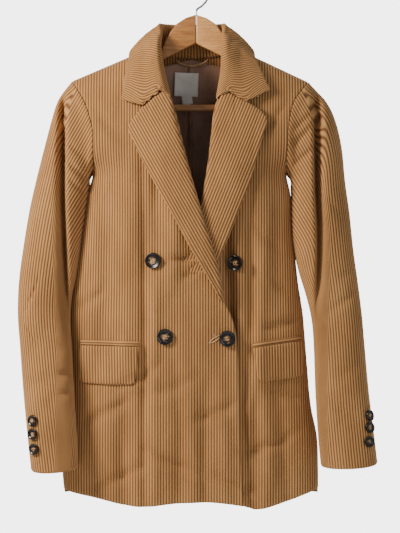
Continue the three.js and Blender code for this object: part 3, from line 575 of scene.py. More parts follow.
# Rib top, shoulder and groove colours; their spread is partly the pile and woven ground, partly
# painted highlight and shade.
CLOTH_FINISH = corduroy("wide-wale cotton corduroy", "#c6965f", "#ab7c4c", "#785234")
LINING_FINISH = satin("brown lining satin", "#6d4c38", "#a27c62")
LOOP_FINISH = woven_tape("woven hanging loop", "#8d6a45", "#c3a076", 1.0)
LABEL_FINISH = woven_tape("plain woven label", "#d3cfc4", "#f0ede5", 0.8)
HORN_FINISH = horn("marbled horn effect polyester")
THREAD_FINISH = woven_tape("buttonhole thread", "#b48a5c", "#e2bd90", 0.9)
WOOD_DARK = beech("varnished beech, darker half", "#925c2c", "#c08649")
WOOD_LIGHT = beech("varnished beech, lighter half", "#bd8044", "#e6ae6c")
CHROME_FINISH = plated_wire("chrome plated wire")


def keep(piece, finish, slot, *nodes):
    """Puts a finish on a piece, rides it on the body and hides the nodes it stands for."""
    piece.data.materials.clear()
    piece.data.materials.append(finish)
    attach(piece, "root")
    if nodes:
        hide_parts(*nodes)
    return piece


# ------------------------------------------------------------------ fronts and backs
ARMPIT_T = 0.62         # t at the armpit on the fronts and backs
HALVINGS = 34           # enough to find a height to a millionth of a millimetre


def height_on_panel(across, top_z, turn):
    low = np.full(turn.shape, float(ARMPIT))
    high = np.full(turn.shape, float(NECK_Z + NECK_DOME))
    for _ in range(HALVINGS):
        z = (low + high) / 2
        x = across(z)
        reach = shoulder_z(x) - ARMPIT
        full = np.arcsin(np.clip((top_z(x) - ARMPIT) / reach, 0, 1))
        under = z - ARMPIT < reach * np.sin(turn * full)
        low, high = np.where(under, z, low), np.where(under, high, z)
    return (low + high) / 2


def panel_points(inner, outer, hem_z, top_z, y_at, s, t):
    share = np.sin(s * np.pi / 2)

    def across(z):
        return mix(inner(z), outer(z), share)

    level = np.clip(t / ARMPIT_T, 0, 1)
    straight = mix(HEM, ARMPIT, level)
    lower = straight + (hem_z(across(straight)) - HEM) * (1 - level) ** 2
    upper = height_on_panel(across, top_z, np.clip((t - ARMPIT_T) / (1 - ARMPIT_T), 0, 1))
    z = np.where(t < ARMPIT_T, lower, upper)
    x = across(z)
    return np.stack([x, y_at(x, z), z], -1)


def front_points(side, s, t, relief=True):
    return panel_points(
        lambda z: FRONT_EDGE[side].read("x", z), lambda z: SECTIONS.read(side, z),
        lambda x: HEM_LINE.read("z", x), shoulder_z, lambda x, z: front_y(side, x, z, relief), s, t)


def back_points(side, s, t, relief=True):
    away = -1 if side == "right" else 1
    return panel_points(
        lambda z: MIDDLE + away * SEAM / 2 + 0 * z, lambda z: SECTIONS.read(side, z),
        lambda x: BACK_HEM + 0 * x, back_top_z, lambda x, z: body_y(x, z, 1, relief), s, t)


PANEL_ROWS = np.concatenate([
    [0, 0.0012, 0.0028, 0.005],
    np.linspace(0.01, ARMPIT_T, int((ARMPIT - HEM) / STEP), endpoint=False),
    np.linspace(ARMPIT_T, 0.996, 34), [0.998, 1]])


def towards(y):
    """The way out of a panel: forward or back, out to the sides and up over the shoulder."""
    def way(points):
        direction = np.zeros(points.shape)
        direction[..., 1] = y
        direction[..., 0] = (points[..., 0] - MIDDLE) / 300
        return direction
    return way


def from_middle(dense):
    """Signed start of each row's wales, counted outwards from the middle of the body."""
    return away * (dense[:, :1, 0] - MIDDLE)


for side, away in (("right", -1), ("left", 1)):
    front = ribbed_sheet(f"front_{side}_cloth", functools.partial(front_points, side), PANEL_ROWS,
                         towards(-1), from_middle)
    keep(front, CLOTH_FINISH, "corduroy", f"front_{side}")
    back = ribbed_sheet(f"back_{side}_cloth", functools.partial(back_points, side), PANEL_ROWS,
                        towards(1), from_middle, edge_roll=0.5)
    keep(back, CLOTH_FINISH, "corduroy", f"back_{side}")

# ------------------------------------------------------------------ sleeves
# Sleeves from the armhole to the cuff: outer and inner outline, the centre's y and the depths.
SLEEVES = {
    "right": Table(
        "row outx outz inx inz y front back",
        (0, -202, -160, -168.5, -311, 0, 38, 32),
        (1, -215, -173, -171, -320, 0, 42, 36),
        (2, -226, -192, -173, -331, 0, 43, 38),
        (3, -236, -226, -175, -346, -1, 43, 39),
        (4, -247, -268, -178, -364, -2, 43, 39),
        (5, -260, -320, -182, -390, -4, 42, 38),
        (6, -271, -370, -187, -424, -7, 41, 37),
        (7, -281, -432, -194, -470, -12, 40, 36),
        (8, -288, -490, -203, -514, -18, 38, 34),
        (9, -289, -540, -205, -552, -24, 37, 33),
        (10, -285, -590, -202, -596, -31, 36, 32),
        (11, -279, -663, -198, -666, -41, 34, 30),
        (12, -271, -738, -193, -738, -52, 32, 28),
        (13, -265, -790, -191, -785, -58, 31, 27)),
    "left": Table(
        "row outx outz inx inz y front back",
        (0, 184, -162, 147.5, -311, 0, 38, 32),
        (1, 200, -177, 151, -320, 0, 42, 36),
        (2, 215, -196, 154, -331, 0, 43, 38),
        (3, 229, -230, 156, -346, -1, 43, 39),
        (4, 238, -272, 155, -364, -2, 43, 39),
        (5, 243, -324, 155.5, -390, -4, 42, 38),
        (6, 250, -376, 158, -424, -7, 41, 37),
        (7, 256, -436, 168, -470, -12, 40, 36),
        (8, 264, -496, 181, -514, -18, 38, 34),
        (9, 269, -540, 189, -552, -24, 37, 33),
        (10, 273, -590, 192, -596, -31, 36, 32),
        (11, 279, -663, 194, -666, -41, 34, 30),
        (12, 287, -734, 198, -738, -52, 32, 28),
        (13, 292, -779, 202, -783, -58, 31, 27)),
}
LAST_ROW = 13
# The long valley down the front of each sleeve: its line, its depth, and how far the cloth inside
# it has slid down, which slants the wales of that part.
VALLEYS = {
    "right": Table(
        "z x depth slide", (-600, -203, 0, 66), (-540, -205, 5, 66), (-504, -207, 17, 58),
        (-444, -209, 26, 46), (-342, -212, 33, 24), (-241, -212, 30, 5), (-200, -213, 22, 0),
        (-172, -214, 0, 0)),
    "left": Table(
        "z x depth slide", (-600, 190, 0, 66), (-530, 192, 4, 66), (-484, 194, 18, 54),
        (-403, 195, 27, 40), (-330, 192, 33, 22), (-241, 191, 30, 5), (-201, 191, 22, 0),
        (-170, 190, 0, 0)),
}
VALLEY_FLOOR = 3        # how far outwards of the fold line the valley is deepest
VALLEY_STEEP = 3.4      # its width towards the armhole
VALLEY_GENTLE = 8       # and outwards
SLEEVE_HEAD = 3.0       # how far the head stands proud of the armhole seam
# Creases across the sleeves, as for the fronts.
SLEEVE_CREASES = {
    "right": [
        (-268, -516, 16, 34, 1.6, 4), (-268, -570, 18, -30, 1.6, 4), (-236, -644, 42, 10, 3.0, 7),
        (-228, -664, 38, -6, 2.6, 6), (-252, -700, 26, 14, 2.0, 7), (-200, -300, 24, -24, 2.6, 6),
        (-196, -330, 20, -20, 2.2, 6), (-196, -272, 20, -18, 1.8, 6), (-232, -590, 30, -12, 2.0, 8),
        (-262, -330, 26, 16, 1.8, 8), (-250, -440, 26, -20, 1.8, 9)],
    "left": [
        (236, -690, 22, -14, 2.6, 6), (246, -716, 26, -12, 2.2, 6), (226, -640, 34, 12, 2.4, 8),
        (176, -226, 22, 20, 2.2, 6), (174, -250, 22, 22, 2.4, 6), (178, -282, 22, 20, 2.0, 6),
        (238, -520, 24, 18, 1.8, 7), (222, -560, 26, -14, 2.0, 7), (236, -380, 20, -16, 1.6, 8),
        (250, -470, 20, 14, 1.6, 8)],
}


def armhole_points(side, angle):
    turn = np.abs((angle + 3 * np.pi) % (2 * np.pi) - np.pi) / np.pi
    t = mix(1, ARMPIT_T, turn)
    ones = np.ones_like(t)
    point = np.where((np.sin(angle) >= 0)[..., None], front_points(side, ones, t),
                     back_points(side, ones, t))
    point[..., 0] += (-1 if side == "right" else 1) * 0.15
    point[..., 2] += 0.3 * turn
    return point


def valley_offset(side, x, z):
    """Distance outwards from the fold line of the sleeve's valley."""
    away = -1 if side == "right" else 1
    return away * (x - VALLEYS[side].read("x", z))


def sleeve_points(side, angle, t, relief=True):
    """Points of a sleeve; without relief, the plain form that the wales are measured on."""
    rows = SLEEVES[side]
    row = t * LAST_ROW
    at = {name: rows.read(name, row) for name in rows.columns if name != "row"}
    power = 2 / SLEEVE_ROUND
    across = np.sign(np.cos(angle)) * np.abs(np.cos(angle)) ** power
    out = np.abs(np.sin(angle)) ** power
    share = (1 + across) / 2
    x = mix(at["inx"], at["outx"], share)
    z = mix(at["inz"], at["outz"], share)
    front = np.sin(angle) >= 0
    y = at["y"] + np.where(front, -at["front"], at["back"]) * out
    z = z - 6 * out * smooth(row, 9, 13)
    ring = np.stack([x, y, z], -1)
    top = {name: rows.read(name, 0) for name in ("outx", "outz", "inx", "inz")}
    shift = np.stack([(at["outx"] + at["inx"] - top["outx"] - top["inx"]) / 2, at["y"],
                      (at["outz"] + at["inz"] - top["outz"] - top["inz"]) / 2], -1)
    loop = armhole_points(side, angle) + shift
    point = mix(loop, ring, smooth(row, 0, 2.6)[..., None])
    if not relief:
        return point
    x, z = point[..., 0], point[..., 2]
    off = valley_offset(side, x, z)
    off_floor = off - VALLEY_FLOOR
    dip = np.exp(-(off_floor / np.where(off_floor < 0, VALLEY_STEEP, VALLEY_GENTLE)) ** 2)
    depth = VALLEYS[side].read("depth", z) * dip
    depth = depth + CREASE_GAIN * sum(crease_depth(crease, x, z) for crease in SLEEVE_CREASES[side])
    depth = depth + ripple(x, z, UNEVEN, 5 if side == "right" else 7)
    ease = smooth(row, 0, 1.2) * np.minimum(out * 1.4, 1)
    point[..., 1] += np.where(front, depth * ease, 0)
    behind = ripple(x, z, 2.2, 11) + sum(crease_depth(c, x, z + 30) for c in SLEEVE_CREASES[side])
    point[..., 1] -= np.where(front, 0, behind * ease)
    # The sleeve's head stands a little proud of the armhole seam.
    head = np.exp(-((row - 0.35) / 0.35) ** 2) * (1 + np.cos(angle)) / 2
    point[..., 1] += np.where(front, -SLEEVE_HEAD, SLEEVE_HEAD) * head * out
    return point


def hind_seam(t):
    """Angle of the seam behind the arm."""
    return mix(-1.1, 0.25, smooth(t, 0, 0.8))


INNER_SEAM = 3.4        # angle of the seam between top and under sleeve, inside the arm
SLEEVE_GAP = 0.004      # angle left open at that seam
SLEEVE_ROLL = 0.4       # how far a sleeve's edges turn in
ROUND_STEPS = 160       # places round a sleeve at which its length is measured
# The wales of the upper sleeve between its valley and the armhole: a slanted count of them.
WING_ACROSS = 0.87
WING_DOWN = 0.5
WING_START = {"right": 105, "left": 86}
WING_FOOT, WING_FULL = -480, -390  # heights between which the slanted count takes over
WING_EDGE = (-24, 4)    # and how far inwards of the fold line
FRONT_ANGLE = 0.9       # past this angle the top sleeve is at its front
SLEEVE_ROWS = np.concatenate([
    [0, 0.0015, 0.004, 0.008, 0.014], np.linspace(0.022, 0.992, 94), [0.9965, 0.9985, 1]])


def arc_from_outer(side, start, ends, rows):
    """Signed length round the sleeve, level by level, from its outermost line to given angles."""
    angle = start + (ends - start)[:, None] * np.linspace(0, 1, ROUND_STEPS)
    dense = sleeve_points(side, angle, np.repeat(rows[:, None], ROUND_STEPS, 1), relief=False)
    lengths = np.hypot(np.diff(dense[:, :, 0], axis=1), np.diff(dense[:, :, 1], axis=1)).sum(axis=1)
    return (np.sign(ends - start) * lengths)[:, None]


def out_of_sleeve(side):
    rows = SLEEVES[side]
    number = np.linspace(0, LAST_ROW, 60)[::-1]
    level = (rows.read("outz", number) + rows.read("inz", number)) / 2
    centre = (rows.read("outx", number) + rows.read("inx", number)) / 2
    middle = rows.read("y", number)

    def way(points):
        x = np.interp(points[..., 2], level, centre)
        y = np.interp(points[..., 2], level, middle)
        return np.stack([points[..., 0] - x, points[..., 1] - y, 0 * x], -1)
    return way


def make_sleeves(side):
    rows = SLEEVE_ROWS
    hind = hind_seam(rows)

    def top(s, t, relief=True):
        start = hind_seam(t) + SLEEVE_GAP
        return sleeve_points(side, mix(start, INNER_SEAM - SLEEVE_GAP, s), t, relief)

    def under(s, t, relief=True):
        end = hind_seam(t) + 2 * np.pi - SLEEVE_GAP
        return sleeve_points(side, mix(INNER_SEAM + SLEEVE_GAP, end, s), t, relief)

    def slide(dense, s, arc):
        """What to add to the arc inside the valley, where the cloth hangs slanted from the seam."""
        x, z = dense[..., 0], dense[..., 2]
        angle = mix((hind + SLEEVE_GAP)[:, None], INNER_SEAM - SLEEVE_GAP, s)
        inwards = x if side == "right" else -x
        slanted = WING_ACROSS * inwards - WING_DOWN * z + WING_START[side]
        shift = mix(VALLEYS[side].read("slide", z), slanted - arc, smooth(z, WING_FOOT, WING_FULL))
        shift = shift * smooth(-valley_offset(side, x, z), *WING_EDGE) * (angle > FRONT_ANGLE)
        inner = np.minimum((angle < math.pi).sum(axis=1), angle.shape[1] - 1)
        held = np.take_along_axis(shift, inner[:, None], 1)
        return np.where(angle > math.pi, held, shift)

    def top_start(dense):
        return arc_from_outer(side, 0, hind + SLEEVE_GAP, rows)

    def under_start(dense):
        return arc_from_outer(side, 2 * np.pi, np.full(len(rows), INNER_SEAM), rows)

    piece = ribbed_sheet(f"top_sleeve_{side}_cloth", top, rows, out_of_sleeve(side), top_start,
                         edge_roll=SLEEVE_ROLL, turn=slide)
    keep(piece, CLOTH_FINISH, "corduroy", f"top_sleeve_{side}")
    piece = ribbed_sheet(f"under_sleeve_{side}_cloth", under, rows, out_of_sleeve(side),
                         under_start, edge_roll=SLEEVE_ROLL)
    keep(piece, CLOTH_FINISH, "corduroy", f"under_sleeve_{side}")


for side in ("right", "left"):
    make_sleeves(side)


# ------------------------------------------------------------------ flat cut pieces
def smooth_loop(corners, near=12):
    """A closed outline through corners, each rounded as far as its third number says."""
    points = []
    count = len(corners)
    for i, (x, z, radius) in enumerate(corners):
        before, after = np.array(corners[i - 1][:2]), np.array(corners[(i + 1) % count][:2])
        here = np.array([x, z], float)
        if radius <= 0:
            points.append(here)
            continue
        start = here + (before - here) * min(radius / np.linalg.norm(before - here), 0.5)
        end = here + (after - here) * min(radius / np.linalg.norm(after - here), 0.5)
        for k in range(near + 1):
            t = k / near
            points.append(start * (1 - t) ** 2 + 2 * here * t * (1 - t) + end * t * t)
    return np.array(points)


def distance_to(points, line, closed=True):
    """Distance of (x, z) points to a polyline."""
    ends = np.roll(line, -1, axis=0) if closed else line[1:]
    starts = line if closed else line[:-1]
    best = np.full(points.shape[:-1], np.inf)
    for start, end in zip(starts, ends):
        way = end - start
        size = (way ** 2).sum()
        if size == 0:
            continue
        t = np.clip(((points - start) @ way) / size, 0, 1)
        best = np.minimum(best, np.linalg.norm(points - start - t[..., None] * way, axis=-1))
    return best


CUT_ROUND = 2.6         # how far from its edge a cut piece starts to turn in
CUT_ROLL = 1.2          # how far its edge turns in
CUT_MARGIN = 3.0        # length of the finer rows at the ends of each wale


def cut_sheet(name, outline, grain, lay, thickness, step=6.0):
    """A piece of corduroy cut to an outline in x and z, its wales along grain (x, z), laid at
    y = lay(x, z)."""
    grain = np.array(grain, float) / np.linalg.norm(grain)
    cross = np.array([-grain[1], grain[0]])
    w, v = outline @ cross, outline @ grain
    first, last = math.floor(w.min() / WALE * PER_WALE), math.ceil(w.max() / WALE * PER_WALE)
    places = np.arange(first, last + 1) * WALE / PER_WALE
    places = np.clip(places, w.min() + 1e-4, w.max() - 1e-4)
    next_w, next_v = np.roll(w, -1), np.roll(v, -1)
    ends = []
    for place in places:
        cut = ((w - place) * (next_w - place) <= 0) & (w != next_w)
        t = (place - w[cut]) / (next_w[cut] - w[cut])
        hits = v[cut] + t * (next_v[cut] - v[cut])
        ends.append((hits.min(), hits.max()))
    longest = max(high - low for low, high in ends)
    inner = np.linspace(0, 1, max(int(longest / step), 3))
    rows = []
    for low, high in ends:
        length = high - low
        margin = min(CUT_MARGIN, length / 4)
        middle = low + margin + inner * (length - 2 * margin)
        rows.append(np.concatenate([[low, low + margin * 0.3], middle,
                                    [high - margin * 0.3, high]]))
    along = np.array(rows).T
    across = np.repeat(places[None, :], len(along), 0)
    flat = along[..., None] * grain + across[..., None] * cross
    x, z = flat[..., 0], flat[..., 1]
    gap = 0.5
    y = lay(x, z)
    slope_x = (lay(x + gap, z) - lay(x - gap, z)) / (2 * gap)
    slope_z = (lay(x, z + gap) - lay(x, z - gap)) / (2 * gap)
    normal = np.stack([slope_x, -np.ones_like(y), slope_z], -1)
    normal /= np.linalg.norm(normal, axis=-1, keepdims=True)
    inside = np.clip(distance_to(flat, outline) / CUT_ROUND, 0, 1)
    lift = RIB * rib_height(across / WALE) * inside - CUT_ROLL * (1 - inside) ** 2
    grid = np.stack([x, y, z], -1) + normal * lift[..., None]
    uv = np.stack([across / WALE, along / WALE], -1)
    piece = put_mesh(name, grid, grid_faces(*across.shape), uv)
    finish_sheet(piece, towards(-1), thickness)
    return piece


ROLL_LINES = {
    "right": [(-52, -176.5), (-44, -181), (-38, -193), (-32, -225), (-19, -272), (-7, -315),
              (3, -350), (15, -393), (24, -418), (34, -454), (40, -477), (44, -501), (45, -519)],
    "left": [(43, -176.5), (38, -184), (32, -201), (26, -235), (22, -266), (19.5, -296),
             (14, -324), (8, -361), (-8, -405), (-24, -450), (-30, -470)],
}
LAPEL_EDGES = {
    "right": [(41, -519, 0), (37, -505, 0), (31, -486, 10), (22, -470, 0), (10, -452, 0),
              (-1, -440, 10), (-26, -401, 0), (-58, -345, 0), (-89, -288, 0), (-104, -255, 8),
              (-111.5, -238, 9),
              (-104, -226, 0), (-86, -204, 0), (-70, -190.5, 0)],
    "left": [(22, -478, 0), (37, -452, 0), (55, -411, 0), (71, -367, 0), (88, -326, 0),
             (104, -268, 0), (112, -240, 10), (117, -223, 10), (104, -209, 0), (83.5, -196.5, 0),
             (62, -185, 0)],
}
LAPEL_GRAIN = {"right": (0.49, -0.87), "left": (-0.375, -0.927)}
LAPEL_WALL = 2.6
LAPEL_FOOT = 0.8        # how far the lapel stands off the front at its roll line
LAPEL_RISE = 6.4        # how much farther past the roll
LAPEL_PUFF = 3.5        # its soft belly
LAPEL_FLARE = 1.2       # and its lift towards the outer edge
LAPEL_REACH = 70        # about the lapel's width
ROLL_ROUND = 8.0        # how far from the roll line the lapel is still rising


def lapel_lay(side):
    roll = np.array(ROLL_LINES[side], float)

    def lay(x, z):
        flat = np.stack([x, z], -1)
        off = distance_to(flat, roll, closed=False)
        turn = np.clip(off / ROLL_ROUND, 0, 1)
        rising = np.sqrt(1 - (1 - turn) ** 2)
        puff = LAPEL_PUFF * np.sin(np.pi * np.clip(off / LAPEL_REACH, 0, 1))
        lift = LAPEL_FOOT + LAPEL_RISE * rising + puff + LAPEL_FLARE * smooth(off, 20, LAPEL_REACH)
        return body_y(x, z, -1, relief=False) - front_lift(side, x, z) - lift + ripple(x, z, 0.9, 4)
    return lay


for side in ("right", "left"):
    lapel_outline = smooth_loop([(x, z, 0) for x, z in ROLL_LINES[side]] + LAPEL_EDGES[side])
    lapel = cut_sheet(f"lapel_{side}_cloth", lapel_outline, LAPEL_GRAIN[side], lapel_lay(side),
                      LAPEL_WALL)
    keep(lapel, CLOTH_FINISH, "corduroy", f"lapel_{side}")

# ------------------------------------------------------------------ pockets
FLAP_LIFT, FLAP_WALL = 5.4, 2.6
WELT_LIFT, WELT_WALL = 4.2, 2.4
WELT_FOOT, WELT_TOP = 0.4, 8.4     # heights of the welt's edges over the flap's top
POCKETS = {
    "right": dict(front=(-91, -592), side=(-189, -590), foot_front=-98, foot_side=-191, length=61),
    "left": dict(front=(91, -594), side=(173, -583), foot_front=101, foot_side=178, length=56),
}


def pocket_lay(side, lift):
    def lay(x, z):
        return front_y(side, x, z) - lift
    return lay


for side in ("right", "left"):
    pocket = POCKETS[side]
    (fx, fz), (sx, sz), drop = pocket["front"], pocket["side"], pocket["length"]
    flap_outline = smooth_loop([
        (fx, fz, 0), (sx, sz, 0), (pocket["foot_side"], sz - drop, 12),
        ((pocket["foot_side"] + pocket["foot_front"]) / 2, (fz + sz) / 2 - drop - 1.5, 0),
        (pocket["foot_front"], fz - drop, 12)])
    flap = cut_sheet(f"flap_{side}_cloth", flap_outline, (0.02, -1), pocket_lay(side, FLAP_LIFT),
                     FLAP_WALL)
    keep(flap, CLOTH_FINISH, "corduroy", f"flap_{side}")
    tilt = (sz - fz) / (sx - fx)
    welt_outline = smooth_loop([
        (fx, fz + WELT_FOOT, 0), (sx, sz + WELT_FOOT, 0), (sx, sz + WELT_TOP, 0),
        (fx, fz + WELT_TOP, 0)])
    welt = cut_sheet(f"welt_{side}_cloth", welt_outline, (1, tilt), pocket_lay(side, WELT_LIFT),
                     WELT_WALL, step=9)
    keep(welt, CLOTH_FINISH, "corduroy", f"welt_{side}")

# ------------------------------------------------------------------ collar
# From the centre back to the front end: fold, outer edge and neck seam, and whether the edge lies
# on the back (1), the shoulder (0) or the front (-1).
COLLAR = {
    "right": Table(
        "row foldx foldy foldz edgex edgez seamx seamz side",
        (0, -6, 27, -66, -6, -134, -6, -111.4, 1),
        (1, -36, 24, -66, -56, -131, -42, -109.5, 1),
        (2, -54, 12, -66, -92, -123, -66, -106, 1),
        (3, -60, -3, -68, -108, -110, -73, -104.8, 0),
        (4, -58, -20, -86, -112, -127, -68, -120, -1),
        (5, -56, -34, -114, -115, -146, -60.5, -140, -1),
        (6, -51, -43, -146, -118, -168, -52, -165, -1),
        (7, -41, -53, -189, -121, -192, -40.5, -194, -1)),
    "left": Table(
        "row foldx foldy foldz edgex edgez seamx seamz side",
        (0, -6, 27, -66, -6, -134, -6, -111.4, 1),
        (1, 23, 24, -66, 43, -131, 30, -109.5, 1),
        (2, 41, 12, -66, 78, -122, 53, -106, 1),
        (3, 47, -3, -68, 94, -109, 60, -104, 0),
        (4, 45, -20, -86, 99, -126, 56, -120, -1),
        (5, 42, -34, -114, 106, -142, 49.5, -140, -1),
        (6, 40, -44, -148, 113, -158, 43, -165, -1),
        (7, 33, -54, -191, 120, -176, 34, -194, -1)),
}
# The collar's end: share of the way from fold to edge, and the rise there over the straight line.
COLLAR_END = {
    "right": Table("share rise", (0, 0), (0.22, 12.3), (0.56, -12.1), (1, 0)),
    "left": Table("share rise", (0, 0), (0.22, 8.5), (0.56, -13.4), (1, 0)),
}
COLLAR_ROWS = 7
COLLAR_LIFT = 6
COLLAR_WALL = 2.2
COLLAR_ROUND = 2.5      # how far from its ends the collar starts to turn in
COLLAR_ROLL = 1.2       # how far it turns in there
# Where a wale that crosses the fold at one place comes out at the edge.
WALE_SLIP = Table("fold edge", (0, 0), (0.57, 0.32), (1, 0.84), (1.12, 1.0))
LEAF_SHARES = [0.1, 0.25, 0.45, 0.65, 0.83, 1.0]
LEAF_LIFT = 7.0         # how far the leaf lies off the fronts
LEAF_BELLY = 3.0        # and how much farther half way across it
LEAF_STAND = 2.0        # and just off its fold


def collar_table(name, t):
    row = np.abs(t) * COLLAR_ROWS
    return np.where(t < 0, COLLAR["right"].read(name, row), COLLAR["left"].read(name, row))


def lie_y(face, x, z):
    front, back = np.abs(body_y(x, z, -1)), np.abs(body_y(x, z, 1))
    return face * np.where(face < 0, front, back)


def leaf_points(s, t):
    row = np.abs(t) * COLLAR_ROWS
    face = collar_table("side", t)
    fold = np.stack([collar_table(f"fold{k}", t) for k in "xyz"], -1)
    edge_x, edge_z = collar_table("edgex", t), collar_table("edgez", t)
    edge = np.stack([edge_x, lie_y(face, edge_x, edge_z) + face * COLLAR_LIFT, edge_z], -1)
    point = mix(fold, edge, s[..., None])
    end = smooth(row, 5.2, 7)
    rise = np.where(t < 0, COLLAR_END["right"].straight("rise", s),
                    COLLAR_END["left"].straight("rise", s))
    point[..., 2] += rise * end + 5 * np.sin(np.pi * s) * (1 - end)
    x, z = point[..., 0], point[..., 2]
    belly = LEAF_BELLY * np.sin(np.pi * s) * smooth(row, 3, 5)
    belly = belly + LEAF_STAND * smooth(s, 0, 0.15) * smooth(row, 4, 6)
    lying = np.where(t < 0, front_y("right", x, z, False), front_y("left", x, z, False))
    lying = lying - LEAF_LIFT - s - belly
    point[..., 1] = mix(point[..., 1], np.minimum(point[..., 1], lying), smooth(row, 3.5, 4.5))
    return point


def collar_section(t_at, s_first):
    """Points across the collar for each wale: up the stand, round the fold and down the leaf.

    Round the neck the stand shows; towards the front ends it is a short tuck under the fold.
    """
    t0 = np.clip(t_at(np.zeros_like(s_first)), -1, 1)
    fold = np.stack([collar_table(f"fold{k}", t0) for k in "xyz"], -1)
    seam_x, seam_z = collar_table("seamx", t0), collar_table("seamz", t0)
    face = collar_table("side", t0)
    seam = np.stack([seam_x, lie_y(face, seam_x, seam_z), seam_z], -1)
    behind = smooth(np.abs(t0), 0.5, 0.68)

    def inwards(point, share):
        moved = point.copy()
        moved[..., 0] = mix(moved[..., 0], NECK_X, share)
        moved[..., 1] *= 1 - 2 * share
        return moved
    stand_top = inwards(fold, 0.07) + [0, 0, -6.0]
    stand_foot = inwards(seam, 0.05)
    stand_foot = stand_foot + np.stack([0 * t0, -1.0 * (face > 0), -9.0 * (np.abs(t0) < 0.3)], -1)
    tuck_top = fold + [0, 4.5, -3.0]
    tuck_top[..., 0] += np.where(t0 < 0, -1.0, 1.0)
    tuck_foot = fold + [0, 9.0, -9.0]
    tuck_foot[..., 0] += np.where(t0 < 0, -4.0, 4.0)
    top = mix(stand_top, tuck_top, behind[..., None])
    foot = mix(stand_foot, tuck_foot, behind[..., None])
    knots = [foot, mix(foot, top, 0.5), top]
    crest = fold + [0, 0, 1.2]
    leaf = []
    for share in LEAF_SHARES:
        s = mix(s_first, 1, share)
        leaf.append(leaf_points(s, np.clip(t_at(s), -1, 1)))
    late = (s_first > 0)[..., None]
    start = leaf_points(s_first, np.clip(t_at(s_first), -1, 1))
    knots = [np.where(late, start, knot) for knot in knots] + [np.where(late, start, crest)] + leaf
    return np.stack(knots)


def spline(knots, shares):
    """A smooth curve through knots, at shares counted in knots."""
    count = len(knots)
    i = np.clip(np.floor(shares).astype(int), 0, count - 2)
    f = (shares - i)[:, None, None]
    a, b = knots[np.maximum(i - 1, 0)], knots[i]
    c, d = knots[i + 1], knots[np.minimum(i + 2, count - 1)]
    return 0.5 * (2 * b + (c - a) * f + (2 * a - 5 * b + 4 * c - d) * f ** 2
                  + (3 * b - a - 3 * c + d) * f ** 3)


def make_collar():
    places = np.linspace(-1, 1, 1201)
    fold = np.stack([collar_table(f"fold{k}", places) for k in "xyz"], -1)
    length = np.concatenate([[0], np.cumsum(np.linalg.norm(np.diff(fold, axis=0), axis=1))])
    length -= np.interp(0, places, length)
    rate = (length[-1] - length[-60]) / (places[-1] - places[-60])
    beyond = 0.12
    low, high = length[0] - beyond * rate, length[-1] + beyond * rate
    numbers = np.arange(math.ceil(low / WALE * PER_WALE), math.floor(high / WALE * PER_WALE) + 1)
    w = numbers * WALE / PER_WALE
    t0 = np.interp(w, np.concatenate([[low], length, [high]]),
                   np.concatenate([[-1 - beyond], places, [1 + beyond]]))
    sign, size = np.sign(t0), np.abs(t0)
    out_at = WALE_SLIP.straight("edge", size)
    s_first = np.where(size > 1, np.clip((size - 1) / np.maximum(size - out_at, 1e-6), 0, 1), 0)

    def t_at(s):
        return sign * mix(size, out_at, s)
    knots = collar_section(t_at, s_first)
    shares = np.concatenate([np.linspace(0, 2, 7), np.linspace(2.25, 4, 8),
                             np.linspace(4.25, 8.7, 20), [8.86, 8.95, 9]])
    grid = spline(knots, shares)
    normal = normals_of(grid)
    centre = np.array([NECK_X, 0, -120])
    leaf = shares > 4
    sign_out = np.sign((normal[leaf] * (grid[leaf] - centre)).sum())
    normal = normal * sign_out
    # Columns that start part of the way down the leaf have their first rows all in one point.
    begun = int(np.searchsorted(shares, 4.6))
    normal[:begun, s_first > 0] = normal[begun, s_first > 0]
    edge = np.clip((9 - shares) / 0.3, 0, 1)[:, None] * np.clip(shares / 0.5, 0, 1)[:, None]
    across = np.interp(shares, np.arange(3, 10), [0] + LEAF_SHARES)
    to_end = 1 - np.abs(np.stack([t_at(mix(s_first, 1, share)) for share in across]))
    inside = edge * np.clip(to_end * rate / COLLAR_ROUND, 0, 1)
    lift = RIB * rib_height(w / WALE)[None, :] * inside - COLLAR_ROLL * (1 - inside) ** 2
    grid = grid + normal * lift[..., None]
    middle_steps = np.linalg.norm(np.diff(grid[:, len(w) // 2], axis=0), axis=1)
    down = np.concatenate([[0], np.cumsum(middle_steps)])
    uv = np.stack([np.repeat(w[None, :] / WALE, len(shares), 0),
                   np.repeat(down[:, None] / WALE, len(w), 1)], -1)
    collar = put_mesh("collar_cloth", grid, grid_faces(len(shares), len(w)), uv)

    def way(points):
        return (points - centre) * [1, 1, 1.5]
    finish_sheet(collar, way, COLLAR_WALL)
    return collar


collar = make_collar()
keep(collar, CLOTH_FINISH, "corduroy", "collar", "collar_stand")

# ------------------------------------------------------------------ inside the neck
LINING_LIFT = 6.2
LABEL_LIFT = 8.0


def plain_sheet(name, sampler, columns, rows, thickness):
    """A smooth sheet over sampler(s, t) that faces forwards."""
    s, t = np.meshgrid(np.linspace(0, 1, columns), np.linspace(0, 1, rows))
    piece = put_mesh(name, sampler(s, t), grid_faces(rows, columns), np.stack([s, t], -1))
    finish_sheet(piece, towards(-1), thickness)
    return piece


def lining_points(s, t):
    x = mix(-112, 96, s)
    z = mix(-122 - 26 * np.abs(2 * s - 1), -440, t)
    drape = 2.6 * np.sin(x / 15 + z / 160) * smooth(z, -150, -300) + 1.6 * np.sin(x / 8.5 - z / 120)
    pleat = 2.2 * np.exp(-((x + 14) / 1.6) ** 2) - 1.8 * np.exp(-((x + 9.5) / 3.0) ** 2)
    room = smooth(np.minimum(s, 1 - s), 0, 0.12) * smooth(t, 0, 0.05)
    y = body_y(x, z, 1) - LINING_LIFT - (drape * 0.5 + 2.0) * room + pleat * room
    return np.stack([x, y, z], -1)


